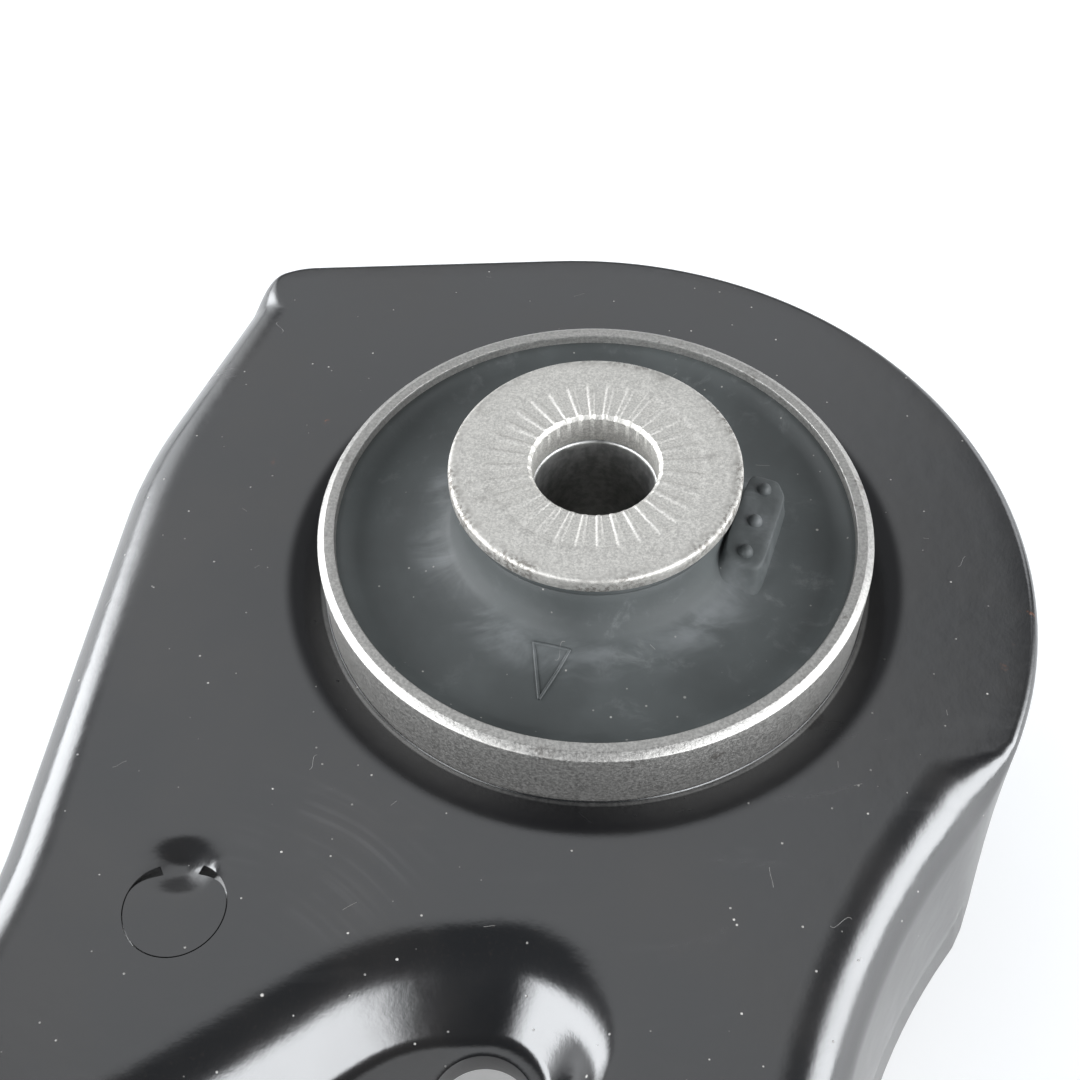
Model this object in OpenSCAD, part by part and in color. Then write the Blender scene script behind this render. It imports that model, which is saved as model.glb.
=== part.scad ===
// Front lower control arm: stamped steel arm, upright rear bush, horizontal front bush
// and riveted ball joint.  Origin on the rear bush axis, at the arm's flat top face.
// +Z is up, along the rear bush axis.  -Y is the car's forward direction, -X is outboard.

/* [Arm stamping] */
// Sheet thickness of the stamped arm
sheet = 4; // [3:0.5:5]
// Depth of the turned-down side flanges below the top face
flange_depth = 28; // [20:1:34]
// Outer radius of the bend between the top face and a flange
bend_r = 7.5; // [6:0.5:8]
// Depth of the pressed panel between the three joints
panel_depth = 7; // [6:0.5:9]
// Radius of the rounded end around the rear bush
bush_end_r = 56.5; // [54:0.5:60]

/* [Rear bush] */
// Outer radius of the steel outer sleeve
sleeve_r = 33.1; // [32:0.1:33.5]
// Wall thickness of the outer sleeve
sleeve_wall = 2.1; // [1.5:0.1:2.5]
// How far the sleeve stands above the arm's top face
sleeve_proud = 8; // [6:0.5:10]
// Length of the outer sleeve
sleeve_len = 38; // [34:1:44]
// Radius of the bolt bore through the core
rear_bore_r = 7.1; // [6.1:0.5:8.1]
// Outer radius of the core tube
core_r = 11; // [10:0.5:13]
// Length of the whole core, from head face to foot face
core_len = 57; // [50:1:64]
// Radius of the serrated head and foot washers
washer_r = 16.9; // [15:0.1:19]
// Number of serrations pressed into each washer
serrations = 32; // [24:2:40]

/* [Front bush] */
// Outer radius of the welded eye tube
eye_r = 24; // [22:0.5:26]
// Wall thickness of the eye tube
eye_wall = 4; // [3:0.5:5]
// Length of the eye tube
eye_len = 52; // [44:1:56]
// Radius of the bolt bore through the inner sleeve
front_bore_r = 6.1; // [5.1:0.5:7.1]
// Outer radius of the inner sleeve
inner_r = 10.5; // [9:0.5:12]
// Length of the inner sleeve
inner_len = 62; // [56:1:66]

/* [Ball joint] */
// Radius of the ball
ball_r = 14; // [13:0.5:14.5]
// Outer radius of the joint housing
housing_r = 23; // [22:0.5:23.5]
// Radius of the stud's straight clamped shank
shank_r = 9; // [8:0.5:9.5]
// Height of the stud's tip above the ball centre
stud_len = 62; // [56:1:70]
// Number of rivets that hold the housing
rivets = 3; // [3:1:4]

/* [Hidden] */
$fn = 64;

e = 0.01;                       // overrun of a cut past a face
paint = [0.13, 0.13, 0.14];
bare_steel = [0.55, 0.54, 0.52];
rubber_grey = [0.22, 0.23, 0.24];

// Rear bush heights: the bush is symmetric about bush_z
bush_z = sleeve_proud - sleeve_len / 2;
core_top = bush_z + core_len / 2;
washer_t = 4;                   // washer thickness over the core tube's end
rim_t = 2.2;                    // washer thickness at its rim

// Front eye: axis along Y
eye_x = 6;
eye_y = -290;
eye_z = -10;
eye_bore_r = eye_r - eye_wall;
front_sleeve_wall = 1.6;

// Ball joint: stud axis along Z
ball_x = -318;
ball_y = -255;
ball_z = -2;
ball_end_r = 48;
rivet_r = 4;
rivet_pcr = 32;                 // radius of the rivet circle
rivet_start = 78;               // direction of the first rivet from the ball centre
plate_t = 5.5;                  // thickness of the housing's riveted flange
plate_r = 39.5;
stud_hole_r = housing_r + 1;    // hole in the arm around the housing

// ---- Outlines made of tangent arcs -------------------------------------------------
// Corner whose rounding runs round a circle of radius r about c, from angle a to angle b
function end_corner(c, r, a, b) =
    let (m = (a + b) / 2, d = r / cos((b - a) / 2))
    [c[0] + d * cos(m), c[1] + d * sin(m), r];

function unit(v) = v / norm(v);
function flat2(p) = [p[0], p[1]];

// One rounded corner as [x, y, nx, ny] samples, with n the outward normal
function corner_samples(a, b, c, step) =
    let (u = unit(flat2(b) - flat2(a)), v = unit(flat2(c) - flat2(b)),
         turn = u[0] * v[1] - u[1] * v[0], side = turn > 0 ? 1 : -1,
         ang = acos(max(-1, min(1, u * v))), r = b[2], t = r * tan(ang / 2),
         start = flat2(b) - u * t, n0 = [u[1], -u[0]],
         centre = start - n0 * r * side, a0 = atan2(n0[1], n0[0]),
         n = max(2, ceil(ang / step - e)))
    [for (i = [0 : n]) let (q = a0 + side * ang * i / n)
        [centre[0] + side * r * cos(q), centre[1] + side * r * sin(q), cos(q), sin(q)]];

// The whole outline, with extra samples on long straight stretches
function outline(corners, step = 9, gap = 32) =
    let (n = len(corners),
         arcs = [for (i = [0 : n - 1])
            corner_samples(corners[(i + n - 1) % n], corners[i], corners[(i + 1) % n], step)])
    [for (i = [0 : n - 1]) each concat(arcs[i],
        let (p = arcs[i][len(arcs[i]) - 1], q = arcs[(i + 1) % n][0],
             m = ceil(norm(flat2(q) - flat2(p)) / gap))
        m > 1 ? [for (k = [1 : m - 1]) p + (q - p) * k / m] : [])];

// An outline moved inwards by d
function inset(samples, d) = [for (s = samples) [s[0] - s[2] * d, s[1] - s[3] * d]];

// Arm outline, anticlockwise from the arc round the rear bush
ARM = [
    end_corner([-3, 0], bush_end_r, -42, 90),
    [-46, bush_end_r, 11],
    [-60.4, 20, 60],
    [-70, -62, 55],
    end_corner([ball_x, ball_y], ball_end_r, 119, 272),
    [-180, -297, 160],
    [-2, -311, 9],
    [-2, -247, 9],
    [22, -247, 10],
    [15.1, -64.6, 86],
];
arm_line = outline(ARM);

// Pressed panel between the three joints: its corners on the top face
PANEL = [
    [7.8, -45.6, 11.4],
    [-25.3, -45.6, 40],
    [-240.5, -180.2, 16],
    [-236, -258, 20],
    [-5, -238, 20],
    [-9.3, -79.2, 40],
];
panel_line = outline(PANEL, 11, 1000);

panel_lip = 10;                 // radius where the panel's wall leaves the top face
panel_foot = 2.5;               // radius where the wall meets the panel's floor
panel_slope = 45;               // slope of the wall between the two radii
panel_straight = (panel_depth - (panel_lip + panel_foot) * (1 - cos(panel_slope)))
    / sin(panel_slope);
panel_run = (panel_lip + panel_foot) * sin(panel_slope) + panel_straight * cos(panel_slope);
// Width of the wall along the edge that reaches each corner; it is steeper at the nose
wall_run = [5, 12.3, 12.2, 12.2, 12.2, 12.2];
floor_r = [6.1, 14, 4, 8, 8, 46];   // corner radii round the panel's floor

// Corners of the outline whose edges are moved inwards by d, an amount for each edge
function moved_in(corners, d, radii) = let (n = len(corners)) [for (i = [0 : n - 1])
    let (b = corners[i], u = unit(flat2(b) - flat2(corners[(i + n - 1) % n])),
         v = unit(flat2(corners[(i + 1) % n]) - flat2(b)),
         nu = [u[1], -u[0]], nv = [v[1], -v[0]], k = nu * nv, e = d[(i + 1) % n],
         p = flat2(b) - (nu * (d[i] - k * e) + nv * (e - k * d[i])) / (1 - k * k))
    [p[0], p[1], radii[i]]];
floor_line = outline(moved_in(PANEL, wall_run, floor_r), 11, 1000);

function smooth(x) = let (t = max(0, min(1, x))) t * t * (3 - 2 * t);

// 0 round the flat bush end, 1 where the side flange is fully turned down
function turned(s) = smooth(-((s[0] + 36) * 0.68 + (s[1] - 56) * 0.73) / 16 - 0.1);
// The flange is shallower round the ball joint
function depth_at(s) =
    flange_depth * (0.5 + 0.5 * smooth((norm([s[0] - ball_x, s[1] - ball_y]) - 55) / 90));

draft = 0.09;                   // outward lean of a flange, in mm per mm of depth
burr = 0.6;                     // extra edge depth where nothing is turned down
extra_draft = 0.8;              // share by which the flange leans out more beside the rear bush
function draft_at(s) =
    draft * (1 + extra_draft * smooth((s[0] - 4) / 12) * smooth((s[1] + 125) / 40));

// Side faces between ring k and the next one, for rings of n points each
function strip(n, k, next) = [for (i = [0 : n - 1])
    let (j = (i + 1) % n, u = k * n, l = next * n)
    each [[u + i, u + j, l + j], [u + i, l + j, l + i]]];

// Closed band through the rings, the last joined to the first
module band(rings) {
    n = len(rings[0]);
    m = len(rings);
    polyhedron([for (r = rings) each r],
        [for (k = [0 : m - 1]) each strip(n, k, (k + 1) % m)], convexity = 8);
}

// Closed skin through the rings, from the top cap's ring round to the underside cap's
module skin(rings) {
    n = len(rings[0]);
    m = len(rings);
    polyhedron([for (r = rings) each r], concat(
        [[for (i = [n - 1 : -1 : 0]) i]],
        [for (k = [0 : m - 2]) each strip(n, k, k + 1)],
        [[for (i = [0 : n - 1]) (m - 1) * n + i]]), convexity = 8);
}

// ---- Arm stamping ------------------------------------------------------------------
rim_w = 8.5;                    // width of the bent border, measured in from the outline
// Section of the bent border at one outline sample: [inset, height] pairs
function border_section(s) =
    let (f = turned(s), r = 0.5 + (bend_r - 0.5) * f, ri = 0.5 + (bend_r - sheet - 0.5) * f,
         foot = -(sheet + burr) - (depth_at(s) - sheet - burr) * f, lean = -foot * draft_at(s) * f)
    [[rim_w, 0], [r, 0], [r * (1 - sin(30)), -r * (1 - cos(30))],
     [r * (1 - sin(60)), -r * (1 - cos(60))], [0, -r], [-lean, foot], [sheet - lean, foot],
     [sheet, -sheet - ri], [sheet + ri * (1 - sin(45)), -sheet - ri * (1 - cos(45))],
     [sheet + ri, -sheet], [rim_w, -sheet]];

// Inset of a full-depth flange's inner face at height z
function wall_inset(z) =
    sheet - draft * flange_depth * (-z - bend_r) / (flange_depth - bend_r) + 0.03;

module bent_border() {
    band([for (k = [0 : 10]) [for (s = arm_line) let (p = border_section(s)[k])
        [s[0] - s[2] * p[0], s[1] - s[3] * p[0], p[1]]]]);
}

// Ring of the panel's wall a distance x in from its outline, at height z
function panel_ring(x, z) = let (t = x / panel_run) [for (i = [0 : len(panel_line) - 1])
    let (p = panel_line[i], q = floor_line[i])
    [p[0] + (q[0] - p[0]) * t, p[1] + (q[1] - p[1]) * t, z]];
// Section of the wall from the top face to the floor: [distance in, height, slope]
panel_section = concat(
    [for (a = [0 : panel_slope / 4 : panel_slope])
        [panel_lip * sin(a), -panel_lip * (1 - cos(a)), a]],
    [for (a = [panel_slope : -panel_slope / 4 : 0])
        [panel_run - panel_foot * sin(a), -panel_depth + panel_foot * (1 - cos(a)), a]]);

drain = [-14, -64];             // drain hole in the panel's nose
drain_r = 5.4;
middle = [-88, -186];           // larger lightening hole
middle_r = 19;
locator = [-190, -218];         // tooling hole
locator_r = 8;

module pressed_panel() {
    m = len(panel_section);
    above = [for (k = [m - 1 : -1 : 0]) panel_ring(panel_section[k][0], panel_section[k][1])];
    below = [for (p = panel_section)
        panel_ring(p[0] - sheet * sin(p[2]), p[1] - sheet * cos(p[2]))];
    difference() {
        skin(concat(above, below));
        for (h = [[drain, drain_r], [middle, middle_r], [locator, locator_r]])
            translate([h[0][0], h[0][1], -panel_depth - sheet - 1])
                cylinder(r = h[1], h = sheet + 2);
    }
}

// Collar drawn down round the rear bush's outer sleeve
collar_r = 37.6;                // where the collar leaves the top face
collar_wall = 3;
collar_depth = 20;
collar_edge = collar_r + 3;     // where the collar ring meets the top plate
module drawn_collar() {
    top_r = collar_r - sleeve_r;
    rotate_extrude($fn = 96) polygon(concat(
        [[collar_edge, 0]],
        [for (a = [0 : 15 : 90]) [collar_r - top_r * sin(a), -top_r * (1 - cos(a))]],
        [[sleeve_r, -collar_depth], [sleeve_r + collar_wall, -collar_depth],
         [sleeve_r + collar_wall, -sheet - 2], [sleeve_r + collar_wall + 2, -sheet],
         [collar_edge, -sheet]]));
}

tab = [-45.8, -44.6];           // lanced round tab beside the panel
tab_r = 5.5;
tab_neck = 4.6;
module tab_slot() {
    translate([tab[0], tab[1], -sheet - e]) difference() {
        cylinder(r = tab_r, h = sheet + 2 * e);
        translate([0, -0.25, -e]) cylinder(r = tab_r - 0.4, h = sheet + 4 * e);
        translate([-tab_neck / 2, 0, -e]) cube([tab_neck, tab_r + 1, sheet + 4 * e]);
    }
}

function rivet_at(i) = rivet_start + i * 360 / rivets;
module at_rivets() {
    for (i = [0 : rivets - 1])
        translate([ball_x + rivet_pcr * cos(rivet_at(i)), ball_y + rivet_pcr * sin(rivet_at(i)), 0])
            children();
}

module top_plate() {
    difference() {
        translate([0, 0, -sheet]) linear_extrude(sheet) polygon(inset(arm_line, rim_w));
        translate([0, 0, -sheet - 1]) {
            linear_extrude(sheet + 2) polygon(inset(panel_line, 0));
            translate([ball_x, ball_y, 0]) cylinder(r = stud_hole_r, h = sheet + 2);
            at_rivets() cylinder(r = rivet_r + 0.03, h = sheet + 2);
            cylinder(r = collar_edge, h = sheet + 2, $fn = 96);
        }
        tab_slot();
    }
}

ear_room = 14.5;                // clear space behind the eye for the bracket's rear ear
module eye_space(r) {
    translate([eye_x, eye_y - eye_len / 2 - 20, eye_z]) rotate([-90, 0, 0])
        cylinder(r = r, h = eye_len + 20 + ear_room, $fn = 96);
}

module arm_shell() {
    color(paint) difference() {
        union() {
            bent_border();
            top_plate();
            pressed_panel();
            drawn_collar();
        }
        eye_space(eye_r + 0.03);
    }
}

// ---- Front eye ---------------------------------------------------------------------
module along_eye(len) {
    translate([eye_x, eye_y + len / 2, eye_z]) rotate([90, 0, 0]) children();
}
module tube(r, bore, len) {
    difference() {
        cylinder(r = r, h = len);
        translate([0, 0, -1]) cylinder(r = bore, h = len + 2);
    }
}

module eye_tube() {
    color(paint) along_eye(eye_len) tube(eye_r, eye_bore_r, eye_len, $fn = 96);
}

gusset_t = 3.5;
gusset_z = -flange_depth + 4;
gusset_x = -96;                 // free end of the gusset
// Plate that closes the underside between the eye tube and the front flange
module eye_gusset() {
    color(paint) difference() {
        intersection() {
            translate([0, 0, gusset_z]) linear_extrude(gusset_t)
                polygon(inset(arm_line, wall_inset(gusset_z + gusset_t)));
            translate([gusset_x, eye_y - 30, gusset_z - 1]) cube([96, 58, gusset_t + 2]);
        }
        eye_space(eye_r);
        translate([-62, eye_y + 6, gusset_z - 1]) cylinder(r = 9, h = gusset_t + 2);
    }
}

weld_r = 5;
// Weld bead that steps down to a thinner run-out at each end
module bead(len, r) {
    cylinder(r = r, h = len);
    translate([0, 0, -0.5 * r]) cylinder(r = 0.75 * r, h = len + r);
}

// Fillet bead between the arm's edge and the eye tube, above and below
module eye_weld() {
    seam = sqrt(eye_r * eye_r - eye_z * eye_z);
    low = gusset_z - eye_z;
    low_seam = sqrt(eye_r * eye_r - low * low);
    color(paint) {
        difference() {
            translate([eye_x - seam, eye_y - 17, 0]) rotate([-90, 0, 0]) bead(40, weld_r);
            eye_space(eye_r);
            translate([-60, eye_y - 40, -20]) cube([80, 80, 20]);
        }
        difference() {
            translate([eye_x - low_seam, eye_y - 15, gusset_z]) rotate([-90, 0, 0]) bead(36, weld_r);
            eye_space(eye_r);
            translate([-60, eye_y - 40, gusset_z]) cube([80, 80, 20]);
        }
    }
}

// Bead where the gusset's front edge meets the inside of the front flange
module gusset_weld() {
    runs = [[-88, -70], [-54, -36]];
    color(paint) for (r = runs) difference() {
        translate([r[0], eye_y - 14.5, gusset_z]) rotate([0, 90, 0]) bead(r[1] - r[0], 3);
        translate([-120, eye_y - 40, gusset_z]) cube([100, 60, 20]);
        difference() {
            translate([-120, eye_y - 60, gusset_z - 10]) cube([100, 60, 20]);
            translate([0, 0, gusset_z - 11]) linear_extrude(22)
                polygon(inset(arm_line, wall_inset(gusset_z)));
        }
    }
}

// ---- Rear bush ---------------------------------------------------------------------
module rear_outer_sleeve() {
    top = sleeve_proud;
    low = sleeve_proud - sleeve_len;
    inner = sleeve_r - sleeve_wall;
    color(bare_steel) rotate_extrude($fn = 96) polygon([
        [inner, low], [sleeve_r - 1, low], [sleeve_r, low + 1], [sleeve_r, top - 0.5],
        [sleeve_r - 0.3, top - 0.15], [sleeve_r - 1.1, top], [inner, top]]);
}

core_foot = core_top - core_len;
module rear_core_tube() {
    color(bare_steel) translate([0, 0, core_foot + washer_t])
        tube(core_r, rear_bore_r, core_len - 2 * washer_t);
}

serration_r = 12.4;             // outer end of the serrations
// Serrated washer with its face at z = 0, body below
module serrated_washer() {
    hole_r = rear_bore_r + 0.35;
    difference() {
        rotate_extrude($fn = 96) polygon([
            [hole_r, -washer_t], [core_r + 1, -washer_t], [core_r + 2.2, -rim_t - 0.6],
            [washer_r - 0.4, -rim_t], [washer_r, -rim_t + 0.4], [washer_r, -0.4],
            [washer_r - 0.4, 0], [hole_r + 0.4, 0], [hole_r, -0.4]]);
        for (i = [0 : serrations - 1]) rotate([0, 0, i * 360 / serrations])
            translate([hole_r + 0.8, -0.55, -0.25]) cube([serration_r - hole_r - 0.8, 1.1, 1]);
    }
}

module rear_head_washer() {
    color(bare_steel) translate([0, 0, core_top]) serrated_washer();
}
module rear_foot_washer() {
    color(bare_steel) translate([0, 0, core_foot]) mirror([0, 0, 1]) serrated_washer();
}

// Half profile of the rubber above its middle, from the core out to the sleeve
function rubber_side() = let (h = core_top - bush_z - washer_t, s = sleeve_proud - bush_z,
        r = sleeve_r - sleeve_wall)
    [[core_r, h - 0.05], [core_r + 1.02, h - 0.05], [core_r + 2.2, h + washer_t - rim_t - 0.65],
     [washer_r - 0.3, h + washer_t - rim_t - 0.05], [washer_r - 0.4, h + 0.6],
     [14.8, h - 0.6], [15.4, h - 4], [17.4, h - 6.1], [21, s - 2.1], [26, s - 2.6],
     [29, s - 2], [30.2, s - 1.1], [r, s - 1.2]];

module rear_rubber() {
    up = rubber_side();
    n = len(up);
    face = sleeve_proud - 2.4;
    color(rubber_grey) {
        translate([0, 0, bush_z]) rotate_extrude($fn = 96) polygon(concat(
            up, [for (i = [n - 1 : -1 : 0]) [up[i][0], -up[i][1]]]));
        pip_block(face);
        arrow(face);
    }
}

// Raised block with three pips beside the core
block_turn = -17;
module pip_block(face) {
    rotate([0, 0, block_turn]) {
        translate([15.6, -6.5, face - 2]) cube([7.2, 14, 4.6]);
        for (i = [-1 : 1]) translate([19.2, 0.4 + 4.6 * i, face + 2.6]) sphere(r = 1, $fn = 20);
    }
}

// Outline arrow moulded on the rubber's face: corners of the triangle
arrow_tips = [[-7.6, -17.3], [-3.6, -18.5], [-7.2, -24]];
module arrow(face) {
    for (i = [0 : 2]) let (p = arrow_tips[i], q = arrow_tips[(i + 1) % 3], d = q - p)
        translate([p[0], p[1], face - 1.5]) rotate([0, 0, atan2(d[1], d[0])])
            translate([0, -0.2, 0]) cube([norm(d), 0.4, 2.1]);
}

// ---- Front bush --------------------------------------------------------------------
module front_outer_sleeve() {
    color(bare_steel) along_eye(eye_len - 2)
        tube(eye_bore_r, eye_bore_r - front_sleeve_wall, eye_len - 2);
}

module front_inner_sleeve() {
    color(bare_steel) along_eye(inner_len) tube(inner_r, front_bore_r, inner_len);
}

module front_rubber() {
    r = eye_bore_r - front_sleeve_wall;
    half = eye_len / 2;
    color(rubber_grey) translate([eye_x, eye_y, eye_z]) rotate([90, 0, 0])
        rotate_extrude($fn = 96) polygon([
            [inner_r, -half - 2.5], [inner_r + 2.5, -half - 2.5], [inner_r + 4, -half + 2],
            [r - 2, -half + 3], [r, -half + 2], [r, half - 2], [r - 2, half - 3],
            [inner_r + 4, half - 2], [inner_r + 2.5, half + 2.5], [inner_r, half + 2.5]]);
}

// ---- Ball joint, drawn about the ball centre ----------------------------------------
module at_ball() {
    translate([ball_x, ball_y, ball_z]) children();
}

seat_r = 18;                    // outer radius of the plastic seat
mouth_z = 7;                    // where the housing closes over the ball
mouth_r = 12.6;
housing_top = 13;
housing_low = -21;
cap_r = 20;
module ball_housing() {
    plate_top = -sheet - ball_z;
    color(paint) at_ball() difference() {
        union() {
            rotate_extrude() polygon([
                [seat_r, housing_low], [housing_r - 1, housing_low], [housing_r, housing_low + 1],
                [housing_r, housing_top - 1], [housing_r - 1, housing_top], [16.8, housing_top],
                [mouth_r, mouth_z + 0.6], [mouth_r, mouth_z - 0.6], [seat_r, mouth_z - 4]]);
            difference() {
                translate([0, 0, plate_top - plate_t]) cylinder(r = plate_r, h = plate_t);
                translate([0, 0, plate_top - plate_t - 1]) cylinder(r = housing_r - 2, h = plate_t + 2);
            }
        }
        translate([0, 0, housing_low - 1]) cylinder(r = cap_r, h = 4);
        for (i = [0 : rivets - 1]) rotate([0, 0, rivet_at(i)])
            translate([rivet_pcr, 0, -20]) cylinder(r = rivet_r + 0.03, h = 40);
    }
}

module ball_seat() {
    inner = ball_r + 0.06;
    top = mouth_z - 1;
    low = -11.5;
    color("white") at_ball() rotate_extrude() polygon(concat(
        [[seat_r - 0.02, low], [seat_r - 0.02, mouth_z - 4.1], [mouth_r + 0.4, top]],
        [for (a = [acos(top / inner) : 5 : 145]) [inner * sin(a), inner * cos(a)]],
        [[8.2, low]]));
}

module ball_end_cap() {
    color(paint) at_ball() rotate_extrude() polygon([
        [0, housing_low + 1.2], [12, housing_low + 1.2], [14, housing_low + 0.4],
        [cap_r - 0.02, housing_low + 0.4], [cap_r - 0.02, housing_low + 3], [14, housing_low + 3],
        [12, housing_low + 3.8], [0, housing_low + 3.8]]);
}

waist_r = 6.8;                  // stud radius just above the ball
collar_z = 24;                  // where the boot's top ring grips the stud
notch_z = 41;                   // middle of the clamp bolt's notch
notch_r = 5.2;
module ball_stud() {
    neck = acos(waist_r / ball_r);
    color(bare_steel) at_ball() difference() {
        rotate_extrude() polygon(concat(
            [for (a = [-90 : 5 : neck]) [ball_r * cos(a), ball_r * sin(a)]],
            [[waist_r, 14], [8, 20], [8, collar_z + 7], [11.5, collar_z + 7.5],
             [11.5, collar_z + 9], [shank_r, collar_z + 9.5], [shank_r, stud_len - 1.5],
             [shank_r - 1.5, stud_len], [0, stud_len]]));
        translate([shank_r + 2.8, 20, notch_z]) rotate([90, 0, 0]) cylinder(r = notch_r, h = 40);
    }
}

boot_low = housing_top - 8;     // bottom of the boot's clamped rim
module dust_boot() {
    color(rubber_grey) at_ball() rotate_extrude() polygon([
        [housing_r + 0.1, boot_low], [housing_r + 1.8, boot_low], [housing_r + 1.8, housing_top - 2],
        [housing_r + 3.4, housing_top + 1], [housing_r + 3, housing_top + 5], [18, housing_top + 10],
        [12, housing_top + 13], [10, housing_top + 14.5], [10, collar_z + 6.8], [8.1, collar_z + 6.8],
        [8.1, housing_top + 12.5], [11, housing_top + 11], [17, housing_top + 8],
        [housing_r + 0.6, housing_top + 4], [housing_r + 1, housing_top + 1.5],
        [housing_r + 0.1, housing_top - 1]]);
}

module boot_upper_ring() {
    color(bare_steel) at_ball() translate([0, 0, collar_z + 3.6])
        tube(11.2, 10.05, 2.4);
}

module boot_lower_ring() {
    color(bare_steel) at_ball() translate([0, 0, boot_low + 1.4])
        tube(housing_r + 3, housing_r + 1.85, 3.2);
}

rivet_head_r = 6.4;
rivet_head_t = 4;
module ball_rivets() {
    under = sheet + plate_t;
    dome_r = (rivet_head_r * rivet_head_r + rivet_head_t * rivet_head_t) / (2 * rivet_head_t);
    color(paint) at_rivets() {
        translate([0, 0, -under]) cylinder(r = rivet_r, h = under);
        intersection() {
            translate([0, 0, rivet_head_t - dome_r]) sphere(r = dome_r);
            cylinder(r = 10, h = 10);
        }
        translate([0, 0, -under - 3]) cylinder(r = rivet_head_r, h = 3);
    }
}

arm_shell();
eye_tube();
eye_gusset();
eye_weld();
gusset_weld();
rear_outer_sleeve();
rear_rubber();
rear_core_tube();
rear_head_washer();
rear_foot_washer();
front_outer_sleeve();
front_rubber();
front_inner_sleeve();
ball_housing();
ball_seat();
ball_stud();
ball_end_cap();
dust_boot();
boot_upper_ring();
boot_lower_ring();
ball_rivets();
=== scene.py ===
"""Looks of a stamped front control arm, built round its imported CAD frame."""
from math import acos, asin, atan2, ceil, cos, dist, radians, sin, sqrt, tan, pi
import bmesh
import bpy
import numpy as np
from mathutils import Matrix, Vector
from mathutils.geometry import delaunay_2d_cdt

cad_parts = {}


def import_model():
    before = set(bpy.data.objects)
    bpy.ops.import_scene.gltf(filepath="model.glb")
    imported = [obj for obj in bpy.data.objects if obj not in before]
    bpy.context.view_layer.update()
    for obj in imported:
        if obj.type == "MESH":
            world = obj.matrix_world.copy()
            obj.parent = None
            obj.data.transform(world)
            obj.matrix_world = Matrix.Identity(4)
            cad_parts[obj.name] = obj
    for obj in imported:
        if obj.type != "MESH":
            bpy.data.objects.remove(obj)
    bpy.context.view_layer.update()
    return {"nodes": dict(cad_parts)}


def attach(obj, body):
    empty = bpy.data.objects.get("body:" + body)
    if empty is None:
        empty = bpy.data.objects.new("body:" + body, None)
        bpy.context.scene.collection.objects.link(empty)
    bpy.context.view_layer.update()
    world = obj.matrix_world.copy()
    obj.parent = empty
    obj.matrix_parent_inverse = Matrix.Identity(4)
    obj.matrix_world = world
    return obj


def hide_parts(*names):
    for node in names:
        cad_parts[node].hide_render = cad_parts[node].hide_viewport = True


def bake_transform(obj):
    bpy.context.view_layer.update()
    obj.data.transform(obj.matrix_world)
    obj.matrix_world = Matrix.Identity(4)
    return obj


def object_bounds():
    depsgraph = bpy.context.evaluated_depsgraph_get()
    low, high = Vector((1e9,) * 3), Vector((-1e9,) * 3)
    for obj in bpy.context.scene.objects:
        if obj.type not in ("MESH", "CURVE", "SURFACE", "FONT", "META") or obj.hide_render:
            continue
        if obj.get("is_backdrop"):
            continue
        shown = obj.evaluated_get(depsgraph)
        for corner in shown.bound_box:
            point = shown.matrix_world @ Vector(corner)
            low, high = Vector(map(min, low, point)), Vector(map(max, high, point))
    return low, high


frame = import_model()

MM = 0.001

# ---- Sizes, in millimetres, as in the CAD source unless noted ----
SHEET, FLANGE, BEND = 4.0, 28.0, 7.5
LEAN, MORE_LEAN = 0.09, 0.45  # beside the bush the CAD's flange leans further
RIM = 8.5  # width of the bent border
BALL = np.array([-318.0, -255.0, -2.0])
EYE = np.array([6.0, -290.0, -10.0])
EYE_R, EYE_BORE, EYE_LEN = 24.0, 20.0, 52.0
SLEEVE_R, SLEEVE_WALL, PROUD, SLEEVE_LEN = 33.1, 2.1, 8.0, 38.0
BUSH_Z = PROUD - SLEEVE_LEN / 2
CORE_TOP, CORE_LEN, WASHER_R, BORE_R, CORE_R = 17.5, 57.0, 16.9, 7.1, 11.0
WASHER_T, TEETH = 4.0, 32
COLLAR_R, COLLAR_EDGE, COLLAR_DEPTH, COLLAR_WALL = 37.6, 40.6, 20.0, 3.0
PANEL_DEPTH, LIP, FOOT, SLOPE = 7.0, 10.0, 2.5, radians(45)
STRAIGHT = (PANEL_DEPTH - (LIP + FOOT) * (1 - cos(SLOPE))) / sin(SLOPE)
RUN = (LIP + FOOT) * sin(SLOPE) + STRAIGHT * cos(SLOPE)
TAB, TAB_R = np.array([-45.8, -44.6]), 5.5
NECK, DIP = 2.3, 1.15  # the tab neck's half width and how far it is pressed down
STUD_HOLE_R, RIVET_R = 24, 4.0
RIVETS = [BALL[:2] + 32 * np.array([cos(q), sin(q)]) for q in np.radians([78, 198, 318])]
GUSSET_T, GUSSET_Z, GUSSET_X, GUSSET_BACK = 3.5, -24.0, -96.0, EYE[1] + 28
HOUSING_R, HOUSING_TOP, HOUSING_LOW, PLATE_R, PLATE_T = 23.0, 13.0, -21.0, 39.5, 5.5
BALL_R, SHANK_R, STUD_LEN, COLLAR_Z, NOTCH_Z, NOTCH_R = 14.0, 9.0, 62.0, 24.0, 41.0, 5.2


def smooth(x):
    t = np.clip(x, 0, 1)
    return t * t * (3 - 2 * t)


def around(n):
    return np.linspace(0, 2 * pi, n, endpoint=False)


# ---- Outlines --------------------------------------------
def end_corner(c, r, a, b):
    """The corner whose rounding is the arc of radius r about c, from angle a to b."""
    m, d = radians((a + b) / 2), r / cos(radians(b - a) / 2)
    return (c[0] + d * cos(m), c[1] + d * sin(m), r)


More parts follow.
